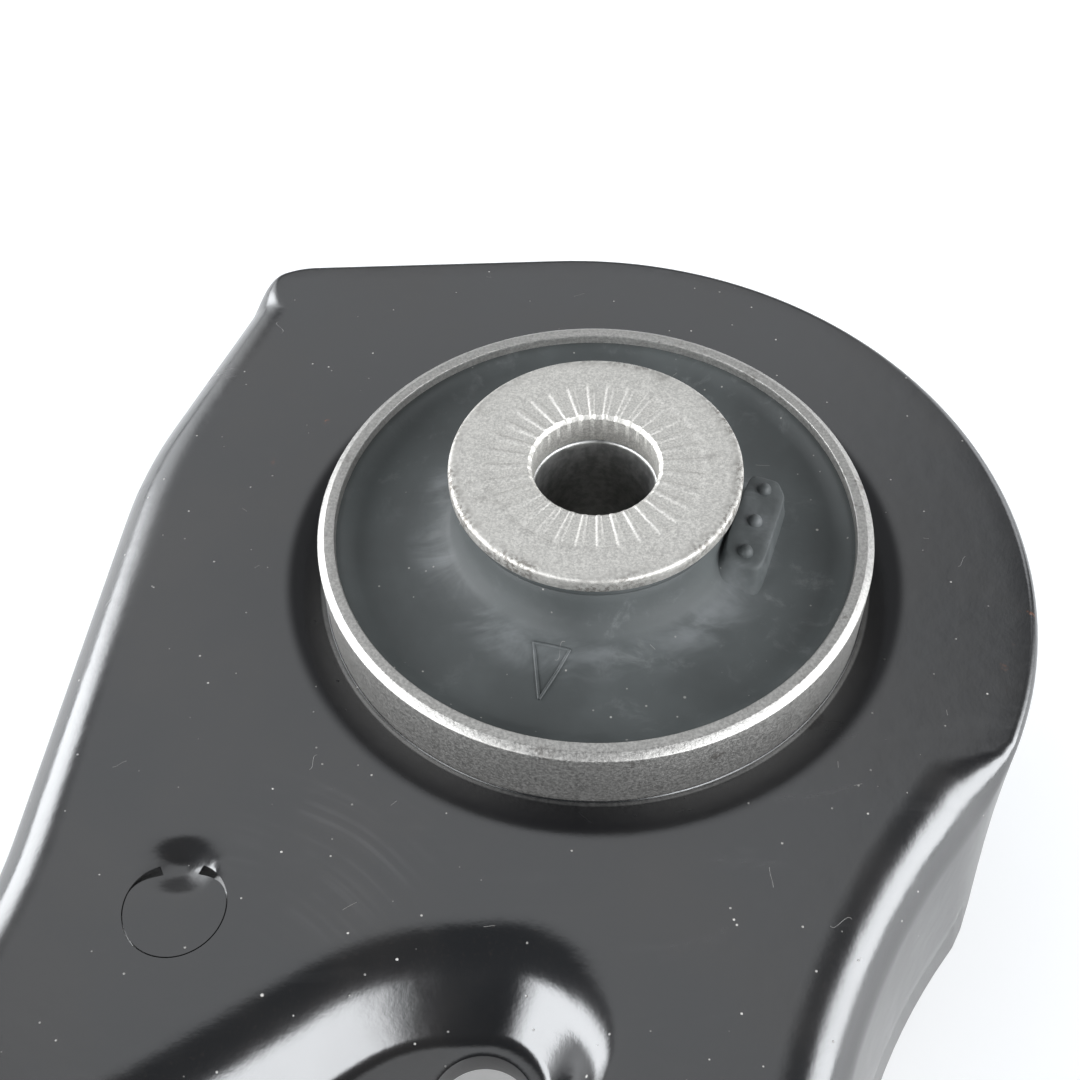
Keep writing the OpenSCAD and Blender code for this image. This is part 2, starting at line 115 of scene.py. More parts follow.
# each corner is x, y and its rounding
ARM = [end_corner((-3, 0), 56.5, -42, 90), (-46, 56.5, 11), (-60.4, 20, 60), (-70, -62, 55),
       end_corner(BALL, 48, 119, 272), (-180, -297, 160), (-2, -311, 9), (-2, -247, 9),
       (22, -247, 10), (15.1, -64.6, 86)]
PANEL = [(7.8, -45.6, 11.4), (-25.3, -45.6, 40), (-240.5, -180.2, 16), (-236, -258, 20),
         (-5, -238, 20), (-9.3, -79.2, 40)]
WALL_RUN = [5, 12.3, 12.2, 12.2, 12.2, 12.2]  # width of the wall before each corner
FLOOR_R = [6.1, 14, 4, 8, 8, 46]
FLOOR_HOLES = (-14, -64, 5.4), (-88, -186, 19), (-190, -218, 8)


def corner_facts(corners):
    """For each corner: arc centre, radius, start angle, signed turn and its sign."""
    c = np.array(corners, float)
    facts = []
    for i, b in enumerate(c):
        a, d = c[i - 1], c[(i + 1) % len(c)]
        u = (b - a)[:2] / np.linalg.norm((b - a)[:2])
        v = (d - b)[:2] / np.linalg.norm((d - b)[:2])
        turn = u[0] * v[1] - u[1] * v[0]
        side = 1 if turn > 0 else -1
        ang = acos(np.clip(u @ v, -1, 1))
        start = b[:2] - u * b[2] * tan(ang / 2)
        n0 = np.array([u[1], -u[0]])
        facts.append((start - n0 * b[2] * side, b[2], atan2(n0[1], n0[0]), side * ang, side))
    return facts


def outline(corners, step, gap, counts=None):
    """Samples [x, y, nx, ny] round tangent arcs; counts makes them match another outline's."""
    rows, used, arcs = [], [], []
    for k, (centre, r, a0, ang, side) in enumerate(corner_facts(corners)):
        n = counts[k][0] if counts else max(2, ceil(abs(ang) / radians(step)))
        q = a0 + ang * np.linspace(0, 1, n + 1)
        nx, ny = np.cos(q), np.sin(q)
        arcs.append(np.stack([centre[0] + side * r * nx, centre[1] + side * r * ny, nx, ny], -1))
        used.append([n])
    for k, arc in enumerate(arcs):
        rows.append(arc)
        p, q = arc[-1], arcs[(k + 1) % len(arcs)][0]
        m = counts[k][1] if counts else max(1, ceil(np.linalg.norm(q[:2] - p[:2]) / gap))
        used[k].append(m)
        if m > 1:
            t = np.arange(1, m)[:, None] / m
            rows.append(p + (q - p) * t)
    return np.concatenate(rows), used


def moved_in(corners, d, radii):
    """The outline with each edge moved inwards by its own distance."""
    c, out = np.array(corners, float)[:, :2], []
    for i, b in enumerate(c):
        u, v = b - c[i - 1], c[(i + 1) % len(c)] - b
        u, v = u / np.linalg.norm(u), v / np.linalg.norm(v)
        nu, nv = np.array([u[1], -u[0]]), np.array([v[1], -v[0]])
        k, e = nu @ nv, d[(i + 1) % len(c)]
        p = b - (nu * (d[i] - k * e) + nv * (e - k * d[i])) / (1 - k * k)
        out.append((p[0], p[1], radii[i]))
    return out


arm_line, _ = outline(ARM, 2, 1.5)
panel_line, panel_counts = outline(PANEL, 5, 3)
floor_line, _ = outline(moved_in(PANEL, WALL_RUN, FLOOR_R), 5, 3, panel_counts)


def turned(s):
    """How far the border is bent and its foot is down; the bend comes in faster."""
    u = -((s[:, 0] + 36) * 0.68 + (s[:, 1] - 56) * 0.73) / 16
    return smooth((u - 0.6) * 1.9 + 0.5), smooth(u - 0.1)


def depth_at(s):
    """Depth of the flange, half of the full one round the ball joint."""
    d = np.hypot(s[:, 0] - BALL[0], s[:, 1] - BALL[1])
    return FLANGE * (0.5 + 0.5 * smooth((d - 55) / 90))


def lean_at(s):
    """Outward lean of the flange, greater beside the rear bush."""
    return LEAN * (1 + MORE_LEAN * smooth((s[:, 0] - 4) / 12) * smooth((s[:, 1] + 125) / 40))


# ---- Mesh building ---------------------------------------
class Build:
    """Collects vertices and faces in millimetres, then makes one object of them."""

    def __init__(self):
        self.v, self.f = [], []

    def add(self, pts):
        start = len(self.v)
        self.v.extend(np.asarray(pts, float).reshape(-1, 3).tolist())
        return start

    def rings(self, rings, closed_loop=False, flip=False):
        """Quads between rings of equally many points; returns the index rings."""
        idx = []
        for r in rings:
            s = self.add(r)
            idx.append(list(range(s, s + len(r))))
        for k in range(len(idx) - (0 if closed_loop else 1)):
            a, b = idx[k], idx[(k + 1) % len(idx)]
            for i in range(len(a)):
                j = (i + 1) % len(a)
                q = [a[i], a[j], b[j], b[i]]
                self.f.append(q[::-1] if flip else q)
        return idx

    def bar(self, rings):
        """A run of rings with a flat face at each end."""
        idx = self.rings(rings)
        self.f += [idx[0][::-1], idx[-1]]

    def fill(self, ring, point, flip=False):
        """Fan from a ring of indices to one point."""
        c = self.add([point])
        for i in range(len(ring)):
            t = [ring[i], ring[(i + 1) % len(ring)], c]
            self.f.append(t[::-1] if flip else t)

    def plate(self, pts, tris, flip=False):
        s = self.add(pts)
        self.f += [[s + t for t in (tri[::-1] if flip else tri)] for tri in tris.tolist()]

    def object(self, name, material, merge=0.0005, sharp=None):
        mesh = bpy.data.meshes.new(name)
        mesh.from_pydata((np.array(self.v) * MM).tolist(), [], self.f)
        bm = bmesh.new()
        bm.from_mesh(mesh)
        if merge:
            bmesh.ops.remove_doubles(bm, verts=bm.verts, dist=merge * MM)
        bmesh.ops.recalc_face_normals(bm, faces=bm.faces)
        bm.to_mesh(mesh)
        bm.free()
        mesh.validate()
        mesh.polygons.foreach_set("use_smooth", [True] * len(mesh.polygons))
        if sharp:
            mesh.set_sharp_from_angle(angle=radians(sharp))
        ob = bpy.data.objects.new(name, mesh)
        bpy.context.scene.collection.objects.link(ob)
        mesh.materials.append(material)
        return ob


def circle(c, r, z, n):
    a = around(n)
    return np.stack([c[0] + r * np.cos(a), c[1] + r * np.sin(a), np.full(n, float(z))], -1)


def disc(c, r, n):
    return circle(c, r, 0, n)[:, :2]


def steps(p, q, m):
    """m points from p towards q, without q itself."""
    return [(p[0] + (q[0] - p[0]) * k / m, p[1] + (q[1] - p[1]) * k / m) for k in range(m)]


def turn(b, section, centre, n, axis="z", bumpy=None):
    """Adds a closed [r, z] section turned about an axis through centre."""
    a = around(n)
    rings = []
    for r, z in section:
        rr, zz = np.full(n, float(r)), np.full(n, float(z))
        if bumpy is not None:
            rr, zz = bumpy(rr, zz, a)
        p = np.stack([rr * np.cos(a), rr * np.sin(a), zz], -1)
        if axis == "y":
            p = np.stack([p[:, 0], p[:, 2], -p[:, 1]], -1)
        rings.append(p + np.array(centre, float))
    b.rings(rings, closed_loop=True, flip=True)


def lathe(name, material, section, centre, n, axis, sharp, bumpy=None):
    b = Build()
    turn(b, section, centre, n, axis, bumpy)
    return b.object(name, material, sharp=sharp)


def wobble(a, seed, size, terms=(2, 3, 5, 9, 14)):
    """Slight unevenness round a turn."""
    g = np.random.default_rng(seed)
    return sum(size / k ** 0.7 * np.sin(k * a + g.uniform(0, 6.28)) for k in terms)


def rounded(points, n):
    """Rounds the corners of a closed section of [r, z, radius], each in n steps."""
    out = []
    pts = [np.array(p[:2], float) for p in points]
    for i, p in enumerate(points):
        r = p[2] if len(p) > 2 else 0
        b, a, c = pts[i], pts[i - 1], pts[(i + 1) % len(pts)]
        if r <= 0:
            out.append(b)
            continue
        u, v = a - b, c - b
        lu, lv = np.linalg.norm(u), np.linalg.norm(v)
        u, v = u / lu, v / lv
        half = acos(np.clip(u @ v, -1, 1)) / 2
        t = min(r / tan(half), lu * 0.49, lv * 0.49)
        r = t * tan(half)
        centre = b + (u + v) / np.linalg.norm(u + v) * (r / sin(half))
        s, e = b + u * t - centre, b + v * t - centre
        a0, a1 = atan2(s[1], s[0]), atan2(e[1], e[0])
        d = (a1 - a0 + pi) % (2 * pi) - pi
        for k in range(n + 1):
            q = a0 + d * k / n
            out.append(centre + r * np.array([cos(q), sin(q)]))
    return out


def more_rows(section, wanted, parts):
    """The section with extra points, at the given parts, on each run that is wanted."""
    rows = []
    for i, (r, z) in enumerate(section):
        r2, z2 = section[(i + 1) % len(section)]
        rows.append((r, z))
        if wanted(r2 - r, z2 - z, z):
            rows += [(r + (r2 - r) * t, z + (z2 - z) * t) for t in parts]
    return rows


# ---- Procedural materials --------------------------------
class Tree:
    """Short spelling for a node tree: n adds a node, the other functions return a socket."""

    def __init__(self, tree):
        self.t = tree
        tree.nodes.clear()

    def put(self, socket, value):
        if isinstance(value, bpy.types.NodeSocket):
            self.t.links.new(value, socket)
        elif isinstance(value, (tuple, list)) and len(value) == 3 and socket.type == "RGBA":
            socket.default_value = (*value, 1)
        else:
            socket.default_value = value

    def n(self, kind, props=None, **inputs):
        """An input is named by its name, with _ for a space, or as i and its number."""
        node = self.t.nodes.new("ShaderNode" + kind)
        for k, v in (props or {}).items():
            setattr(node, k, v)
        for k, v in inputs.items():
            key = int(k[1:]) if k[0] == "i" and k[1:].isdigit() else k.replace("_", " ")
            self.put(node.inputs[key], v)
        return node

    def math(self, op, a, b=0.0, clamp=False):
        return self.n("Math", {"operation": op, "use_clamp": clamp}, i0=a, i1=b).outputs[0]

    def mul(self, a, *others):
        for b in others:
            a = self.math("MULTIPLY", a, b)
        return a

    def ramp(self, x, lo, hi, a=0.0, b=1.0):
        return self.n("MapRange", {"interpolation_type": "SMOOTHSTEP"}, Value=x,
                      i1=lo, i2=hi, i3=a, i4=b).outputs[0]

    def fade(self, x, lo, hi):
        return self.ramp(x, lo, hi, 1.0, 0.0)

    def split(self, v):
        return self.n("SeparateXYZ", i0=v).outputs


class Nodes(Tree):
    """A new material with one principled shader."""

    def __init__(self, name):
        self.mat = bpy.data.materials.new(name)
        self.mat.use_nodes = True
        super().__init__(self.mat.node_tree)
        self.bsdf = self.n("BsdfPrincipled")
        self.n("OutputMaterial", i0=self.bsdf.outputs[0])
        place = self.n("TexCoord")
        self.p, self.facing = place.outputs["Object"], place.outputs["Normal"]

    def vec(self, op, a, b=(0, 0, 0)):
        node = self.n("VectorMath", {"operation": op}, i0=a, i1=b)
        return node.outputs["Value" if op == "LENGTH" else "Vector"]

    def away(self, place):
        """Distance from a place, in metres."""
        return self.vec("LENGTH", self.vec("SUBTRACT", self.p, place))

    def radius(self):
        """Distance from the rear bush's axis, in metres."""
        return self.vec("LENGTH", self.vec("MULTIPLY", self.p, (1, 1, 0)))

    def join(self, x, y=0.0):
        return self.n("CombineXYZ", X=x, Y=y, Z=0.0).outputs[0]

    def noise(self, scale, detail=2.0, rough=0.5, at=None, distort=0.0):
        return self.n("TexNoise", Vector=at or self.p, Scale=scale, Detail=detail,
                      Roughness=rough, Distortion=distort).outputs[0]

    def mix(self, f, a, b):
        return self.n("Mix", {"data_type": "RGBA"}, i0=f, i6=a, i7=b).outputs[2]

    def shades(self, f, tone, dark, light):
        """The tone, from its darker to its lighter shade."""
        return self.mix(f, tuple(c * dark for c in tone), tuple(min(1, c * light) for c in tone))

    def squashed(self, x, y, z, turn):
        return self.n("Mapping", i1=(0, 0, 0), i2=(0, 0, turn), i3=(x, y, z), i0=self.p).outputs[0]

    def specks(self, scale, size, share):
        """Small round dust grains: about one a cell, kept for that share of the cells."""
        v = self.n("TexVoronoi", Vector=self.p, Scale=scale)
        pick = self.split(v.outputs["Color"])
        near = self.ramp(v.outputs["Distance"], size, size * 0.45)
        keep = self.math("LESS_THAN", pick[0], share)
        return self.mul(near, self.mul(keep, self.ramp(pick[1], 0, 1, 0.3, 1)))

    def fibres(self, scale, length, width, share):
        """Short curled lint, one a cell for that share of the cells, on faces that look up."""
        q = self.vec("MULTIPLY", self.p, (scale, scale, 0))
        v = self.n("TexVoronoi", {"voronoi_dimensions": "2D"}, Vector=q, Scale=1.0)
        pick = self.split(v.outputs["Color"])
        d = self.vec("SUBTRACT", q, v.outputs["Position"])
        r = self.n("VectorRotate", {"rotation_type": "Z_AXIS"}, Vector=d,
                   Angle=self.mul(pick[0], 2 * pi))
        x, y, _ = self.split(r.outputs[0])
        wave = self.mul(self.math("SINE", self.mul(x, self.ramp(pick[1], 0, 1, 6, 22))),
                        self.ramp(pick[2], 0, 1, 0.02, 0.09))
        bow = self.mul(x, x, self.math("SUBTRACT", pick[1], 0.5))
        off = self.math("ABSOLUTE", self.math("SUBTRACT", y, self.math("ADD", wave, bow)))
        line = self.ramp(off, width, width * 0.35)
        size = self.mul(self.ramp(pick[2], 0, 1, 0.35, 1), length)
        end = self.math("LESS_THAN", self.math("ABSOLUTE", x), size)
        keep = self.math("LESS_THAN", self.math("FRACT", self.mul(pick[0], 7.3)), share)
        keep = self.mul(keep, self.ramp(self.split(self.facing)[2], 0.6, 0.85))
        return self.mul(line, end, keep)

    def bump(self, height, distance, *under):
        return self.n("Bump", Strength=1.0, Distance=distance, Height=height,
                      **({"Normal": under[0]} if under else {})).outputs[0]

    def finish(self, **inputs):
        for k, v in inputs.items():
            self.put(self.bsdf.inputs[k.replace("_", " ")], v)
        return self.mat


# places the materials know, in metres; a pair is where a fade starts and ends
# the first pair fades in and the second fades out the painted shade ring in the collar round the
# sleeve
COLLAR_SHADE_IN, COLLAR_SHADE_OUT = (0.0336, 0.0340), (0.0366, 0.0389)
WIPE_CENTRE, WIPE_PLACE = (-0.052, -0.072, 0.0), (-0.030, -0.038, 0.0)
WIPE_PITCH = 0.00125  # from one wiped streak to the next, about
FLARE_IN, FLARE_OUT = (0.0165, 0.0188), (0.0195, 0.0235)
HEAD_RIM, RIM_FADE = 0.0168, 0.0018


def paint(name, rust):
    """Black electrocoat on a pressing: glossy, slightly rippled, dusty, with painted shade in the
    collar round the sleeve.
    """
    n = Nodes(name)
    mottle = n.noise(45, 3, 0.6)
    fine = n.noise(2600, 2, 0.6)
    base = n.mix(n.ramp(mottle, 0.35, 0.7), (0.0105, 0.0110, 0.0120), (0.0150, 0.0142, 0.0140))
    base = n.mix(n.ramp(fine, 0.58, 0.8, 0, 0.35), base, (0.040, 0.032, 0.028))
    smear = n.mul(n.ramp(n.noise(1, 4, 0.65, n.squashed(60, 260, 60, 0.15), 0.6), 0.55, 0.78),
                  n.ramp(n.noise(14, 1), 0.5, 0.66))
    base = n.mix(n.mul(smear, 0.16), base, (0.13, 0.13, 0.13))
    # wiped streaks beside the tab, in arcs about WIPE_CENTRE
    arc = n.math("ADD", n.away(WIPE_CENTRE), n.mul(n.noise(60, 1), 0.002))
    arc = n.noise(1, 2, 0.6, n.join(n.mul(arc, 1 / WIPE_PITCH)))
    wipe = n.mul(n.ramp(arc, 0.45, 0.7), n.fade(n.away(WIPE_PLACE), 0.004, 0.014),
                 n.ramp(n.noise(130, 2), 0.35, 0.6))
    base = n.mix(n.mul(wipe, 0.07), base, (0.3, 0.3, 0.3))
    dust = n.math("MAXIMUM", n.specks(420, 0.07, 0.85), n.specks(130, 0.033, 0.7))
    dirt = n.math("MAXIMUM", dust, n.mul(n.fibres(110, 0.11, 0.0052, 0.22), 0.26))
    base = n.mix(dirt, base, (0.5, 0.48, 0.45))
    # painted shade: the ring in the collar round the sleeve is painted dark and its shine turned
    # down, standing in for the shade of the dip
    rad = n.radius()
    ring = n.mul(n.ramp(rad, *COLLAR_SHADE_IN), n.fade(rad, *COLLAR_SHADE_OUT))
    base = n.mix(ring, base, (0.006, 0.006, 0.007))
    spots = n.mul(n.ramp(n.noise(420, 3, 0.7), 0.66, 0.73), n.ramp(n.noise(25, 1), 0.6, 0.7))
    base = n.mix(n.mul(spots, rust), base, (0.16, 0.055, 0.02))
    rough = n.math("ADD", n.ramp(mottle, 0.3, 0.7, 0.17, 0.24), n.mul(smear, 0.2))
    rough = n.math("ADD", rough, n.mul(dirt, 0.5), clamp=True)
    peel = n.bump(n.noise(330, 2, 0.5), 0.00004)
    lumps = n.bump(dirt, 0.00004, n.bump(fine, 0.00001, peel))
    return n.finish(Base_Color=base, Roughness=rough, Normal=lumps, IOR=2.0,
                    Specular_IOR_Level=n.ramp(ring, 0.0, 1.0, 0.5, 0.1))


def steel(name, tone, rough, grain, depth, stain, turned=0.0, rim=0.0):
    """Bare steel, mottled and a little stained: blasted, drawn, or turned about the bush's axis."""
    n = Nodes(name)
    dark = (0.12, 0.105, 0.09)
    if turned:
        lines = n.noise(turned, 3, 0.7, n.join(n.radius(), n.split(n.p)[2]))
    else:
        lines = n.noise(grain * 0.6, 2)
    blast = n.noise(grain, 3, 0.7)
    base = n.shades(n.ramp(blast, 0.3, 0.7), tone, 0.72, 1.12)
    base = n.mix(n.ramp(n.noise(160, 4, 0.7), 0.6, 0.72, 0, stain), base, dark)
    grime = n.mul(n.ramp(n.noise(700, 3, 0.8), 0.58, 0.66), n.ramp(n.noise(70, 2), 0.5, 0.66))
    base = n.mix(n.mul(grime, 0.8 * stain), base, dark)
    if rim:  # dark pits towards the head's rim
        pits = n.mul(n.ramp(n.radius(), rim - RIM_FADE, rim),
                     n.ramp(n.noise(2100, 3, 0.8), 0.47, 0.56))
        base = n.mix(n.mul(pits, n.ramp(n.noise(120, 2), 0.3, 0.6, 0.1, 0.75)), base, dark)
    return n.finish(Base_Color=base, Metallic=0.85, Roughness=n.ramp(blast, 0.3, 0.7, *rough),
                    Normal=n.bump(lines, depth * 0.7, n.bump(blast, depth)))


def rubber(name, tone, rough, bloom, moulded=0.0):
    """Rubber: matt and dusty with a pale bloom; moulded adds the bush's flare and mould rings."""
    n = Nodes(name)
    mottle = n.noise(70, 4, 0.6)
    base = n.shades(n.ramp(mottle, 0.3, 0.75), tone, 0.82, 1.22)
    powder = n.mul(n.ramp(n.noise(190, 5, 0.75, None, 0.4), 0.52, 0.8),
                   n.ramp(n.noise(38, 2), 0.42, 0.7))
    base = n.mix(n.mul(powder, bloom), base, (0.3, 0.31, 0.31))
    bumps = n.bump(n.noise(1500, 3, 0.6), 0.00002)
    if moulded:  # pale bloom where the rubber flares off its core
        rad = n.radius()
        flare = n.mul(n.ramp(rad, *FLARE_IN), n.fade(rad, *FLARE_OUT))
        streak = n.ramp(n.noise(1, 4, 0.6, n.squashed(110, 240, 110, -0.4), 0.5), 0.38, 0.75)
        base = n.mix(n.mul(flare, streak, 0.5), base, (0.2, 0.21, 0.215))
        bumps = n.bump(n.noise(moulded, 2, 0.5, n.join(rad)), 0.00005, bumps)
    dust = n.math("MAXIMUM", n.specks(460, 0.075, 0.85), n.specks(150, 0.034, 0.7))
    dirt = n.math("MAXIMUM", n.mul(dust, 0.8), n.mul(n.fibres(120, 0.11, 0.0058, 0.2), 0.3))
    base = n.mix(dirt, base, (0.45, 0.43, 0.4))
    rough = n.math("ADD", n.ramp(mottle, 0.3, 0.7, *rough), n.mul(powder, 0.2), clamp=True)
    bumps = n.bump(n.noise(260, 2), 0.00006, bumps)
    return n.finish(Base_Color=base, Roughness=rough, Normal=bumps, IOR=1.5)


def acetal(name):
    n = Nodes(name)
    base = n.mix(n.ramp(n.noise(60, 2), 0.3, 0.7), (0.78, 0.75, 0.68), (0.84, 0.82, 0.76))
    return n.finish(Base_Color=base, Roughness=n.ramp(n.noise(400, 2), 0.3, 0.7, 0.35, 0.45),
                    Normal=n.bump(n.noise(900, 2), 0.00001))


PAINT = paint("arm_coat", rust=0.6)
STEEL_BLAST = steel("blasted_steel", (0.66, 0.645, 0.61), (0.5, 0.64), 4200, 0.000012, 0.3,
                    rim=HEAD_RIM)
STEEL_DRAWN = steel("drawn_steel", (0.47, 0.46, 0.44), (0.36, 0.5), 2900, 0.00003, 0.6)
STEEL_TURNED = steel("turned_steel", (0.5, 0.5, 0.49), (0.32, 0.42), 900, 0.000003, 0.0,
                     turned=2500)
STEEL_SPRING = steel("spring_steel", (0.3, 0.3, 0.31), (0.3, 0.42), 1200, 0.00001, 0.2)
RUBBER = rubber("bush_rubber", (0.052, 0.058, 0.058), (0.5, 0.66), 0.4, moulded=420)
BOOT = rubber("boot_rubber", (0.022, 0.022, 0.024), (0.36, 0.5), 0.15)
ACETAL = acetal("acetal")
FORGED = paint("phosphated_forging", rust=0.2)
WELD = paint("coated_weld", rust=0.3)
STEEL_CAP = steel("pressed_cap", (0.32, 0.31, 0.29), (0.34, 0.46), 1300, 0.00002, 0.4)


def settle(ob, body, node):
    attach(ob, body)
    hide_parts(node)


# ---- Arm shell -------------------------------------------
def border_section(f, down, depth, slope):
    """The bent border at one sample, as [inset, height] rows: bent by f, its foot down by down."""
    r = 1.3 + (BEND - 1.3) * f
    ri = 0.5 + (BEND - SHEET - 0.5) * f
    foot = -(SHEET + 0.6) - (depth - SHEET - 0.6) * down
    lean = -foot * slope * down
    tilt = atan2(lean, -foot - r)
    rows = [[RIM, 0.0], [r + 0.35 * (RIM - r), 0.0]]
    for a in np.linspace(0, pi / 2 - tilt, 10):
        rows.append([r - r * sin(a), -r + r * cos(a)])
    last = rows[-1]
    nip, side, up = 0.5, 0.15, 0.12  # rounding of the sheared foot
    for t in (0.33, 0.66):
        rows.append([last[0] + (-lean - last[0]) * t, last[1] + (foot + nip - last[1]) * t])
    rows += [[-lean, foot + nip], [-lean + side, foot + up], [-lean + nip, foot],
             [SHEET - lean - nip, foot], [SHEET - lean - side, foot + up],
             [SHEET - lean, foot + nip]]
    for t in (0.5, 1.0):
        rows.append([SHEET - lean + lean * t, foot + nip + (-SHEET - ri - foot - nip) * t])
    for a in (22.5, 45, 67.5, 90):
        q = radians(a)
        rows.append([SHEET + ri - ri * cos(q), -SHEET - ri + ri * sin(q)])
    return rows + [[RIM, -SHEET]]


def inside(points, loop):
    """Even-odd test of many points against one loop."""
    x, y = points[:, 0][:, None], points[:, 1][:, None]
    x0, y0 = loop[:, 0][None], loop[:, 1][None]
    x1, y1 = np.roll(x0, -1, 1), np.roll(y0, -1, 1)
    with np.errstate(divide="ignore", invalid="ignore"):
        cross = ((y0 > y) != (y1 > y)) & (x < (x1 - x0) * (y - y0) / (y1 - y0) + x0)
    return cross.sum(1) % 2 == 1


def hex_grid(lo, hi, step):
    xs = np.arange(lo[0], hi[0], step)
    ys = np.arange(lo[1], hi[1], step * 0.866)
    gx, gy = np.meshgrid(xs, ys)
    gx = gx + (np.arange(len(ys)) % 2)[:, None] * step / 2
    return np.stack([gx.ravel(), gy.ravel()], -1)


def within(points, outer, holes):
    """Which of the points are inside outer and outside the holes."""
    ok = inside(points, outer)
    for h in holes:
        ok &= ~inside(points, h)
    return ok


def flat_plate(outer, holes, grids):
    """Triangles of the flat region inside outer and outside the holes: (points, triangles)."""
    pts, edges = [], []
    for loop in [outer] + holes:
        s = len(pts)
        pts += loop.tolist()
        edges += [(s + i, s + (i + 1) % len(loop)) for i in range(len(loop))]
    for g, keep_off in grids:
        g, taken = g[within(g, outer, holes)], np.array(pts)
        near = np.array([np.min(np.hypot(*(taken - p).T)) for p in g])
        pts += g[near > keep_off].tolist()
    v, _, faces, _, _, _ = delaunay_2d_cdt([Vector(p) for p in pts], edges, [], 0, 1e-4)
    v = np.array([list(p) for p in v])
    faces = np.array(faces)
    e1, e2 = v[faces[:, 1]] - v[faces[:, 0]], v[faces[:, 2]] - v[faces[:, 0]]
    area = np.abs(e1[:, 0] * e2[:, 1] - e1[:, 1] * e2[:, 0]) / 2
    longest = np.max([(e ** 2).sum(1) for e in (e1, e2, e2 - e1)], axis=0)
    sliver = area <= 2e-4 * longest  # one lies along a straight edge
    return v, faces[within(v[faces].mean(1), outer, holes) & ~sliver]


def dip(p):
    """Height of the face round the lanced tab: pressed down at its neck."""
    x, y = p[:, 0] - TAB[0], p[:, 1] - TAB[1]
    far = np.hypot(x, y)
    across = np.exp(-(x / 3.1) ** 2)
    rise = y - TAB_R * 0.86
    sheet = -DIP * across * smooth(1 - rise / 4.0) * (rise > 0)
    tab = -DIP * across * smooth((y - TAB_R * 0.15) / (TAB_R * 0.71))
    return np.where((far < TAB_R + 0.02) & ((rise <= 0) | (far < TAB_R - 0.02)), tab, sheet)


def tab_loops():
    """The C-shaped slot round the tab, as one loop: out along the sheet, back along the disc."""
    open_at = asin(NECK / TAB_R)
    q = np.linspace(pi / 2 - open_at, -1.5 * pi + open_at, 90)
    side = np.abs(np.abs(np.angle(np.exp(1j * (q - pi / 2)))) - open_at)
    gap = 0.13 + 0.95 * smooth(1 - side / 0.85)
    across = np.stack([np.cos(q), np.sin(q)], -1)
    return np.concatenate([TAB_R * across, ((TAB_R - gap)[:, None] * across)[::-1]]) + TAB


def pressed_panel(b, grid):
    """The recess: its wall's path as [run, height, slope] rows, its floor and the floor's holes."""
    path = [[LIP * sin(a), -LIP * (1 - cos(a)), a] for a in np.linspace(0, SLOPE, 12)]
    foot = [[RUN - FOOT * sin(a), -PANEL_DEPTH + FOOT * (1 - cos(a)), a]
            for a in np.linspace(SLOPE, 0, 8)]
    (x, z, _), (x2, z2, _) = path[-1], foot[0]
    path += [[x + (x2 - x) * t, z + (z2 - z) * t, SLOPE] for t in (0.33, 0.67)] + foot
    edge, inner = panel_line[:, :2], floor_line[:, :2]
    for low in (False, True):
        rows = []
        for x, z, a in path:
            if low:
                x, z = x - SHEET * sin(a), z - SHEET * cos(a)
            rows.append(np.column_stack([edge + (inner - edge) * (x / RUN), np.full(len(edge), z)]))
        b.rings(rows, flip=low)
    soft = 0.6  # the rounding at a punched hole's edges
    floor, tris = flat_plate(inner, [disc(h, h[2] + soft, 72) for h in FLOOR_HOLES], [(grid, 2.2)])
    for height, flip in ((-PANEL_DEPTH, False), (-PANEL_DEPTH - SHEET, True)):
        b.plate(np.column_stack([floor, np.full(len(floor), height)]), tris, flip)
    for h in FLOOR_HOLES:
        b.rings([circle(h, h[2] + r, -PANEL_DEPTH - z, 72) for r, z in
                 ((soft, 0), (0.2, 0), (0.06, 0.06), (0, 0.22), (0, SHEET - 0.1), (0.2, SHEET),
                  (soft, SHEET))])


def collar(b):
    """The collar drawn down round the bush, with the paint's uneven edge at the sleeve."""
    turn_in = [[COLLAR_R - (COLLAR_R - SLEEVE_R) * u, -0.55 * u - 0.8 * u * u]
               for u in np.linspace(0, 0.93, 12)]
    wall = SLEEVE_R + COLLAR_WALL - 0.12
    section = [[COLLAR_EDGE, 0], [COLLAR_R + 0.7, 0]] + turn_in + [
        [SLEEVE_R + 0.16, -1.22], [SLEEVE_R + 0.06, -1.1], [SLEEVE_R + 0.02, -1.2],
        [SLEEVE_R + 0.12, -1.8], [SLEEVE_R + 0.12, -COLLAR_DEPTH + 0.5],
        [SLEEVE_R + 0.6, -COLLAR_DEPTH], [wall - 0.4, -COLLAR_DEPTH], [wall, -COLLAR_DEPTH + 0.5],
        [wall, -SHEET - 2], [wall + 0.6, -SHEET - 0.6], [wall + 2, -SHEET], [COLLAR_EDGE, -SHEET]]
    a = around(180)
    uneven = wobble(a, 21, 0.16, (3, 7, 13, 22))
    b.rings([np.stack([r * np.cos(a), r * np.sin(a),
                       z + uneven * (r < SLEEVE_R + 0.45) * (z > -1.5)], -1) for r, z in section])


def cut_for_eye(ob):
    """Takes the eye tube's room out of the pressing."""
    cut = Build()
    a = around(128)
    r, far, near = EYE_R + 0.03, -336.0, -249.5
    idx = cut.rings([np.stack([EYE[0] + r * np.cos(a), np.full(128, y), EYE[2] + r * np.sin(a)], -1)
                     for y in (far, near)])
    cut.fill(idx[0], (EYE[0], far, EYE[2]), True)
    cut.fill(idx[1], (EYE[0], near, EYE[2]))
    tool = cut.object("eye_cut", PAINT, 0)
    m = ob.modifiers.new("eye", "BOOLEAN")
    m.object, m.operation, m.solver = tool, "DIFFERENCE", "EXACT"
    dg = bpy.context.evaluated_depsgraph_get()
    mesh = bpy.data.meshes.new_from_object(ob.evaluated_get(dg))
    ob.modifiers.clear()
    ob.data = mesh
    bpy.data.objects.remove(tool)
    mesh.set_sharp_from_angle(angle=radians(38))


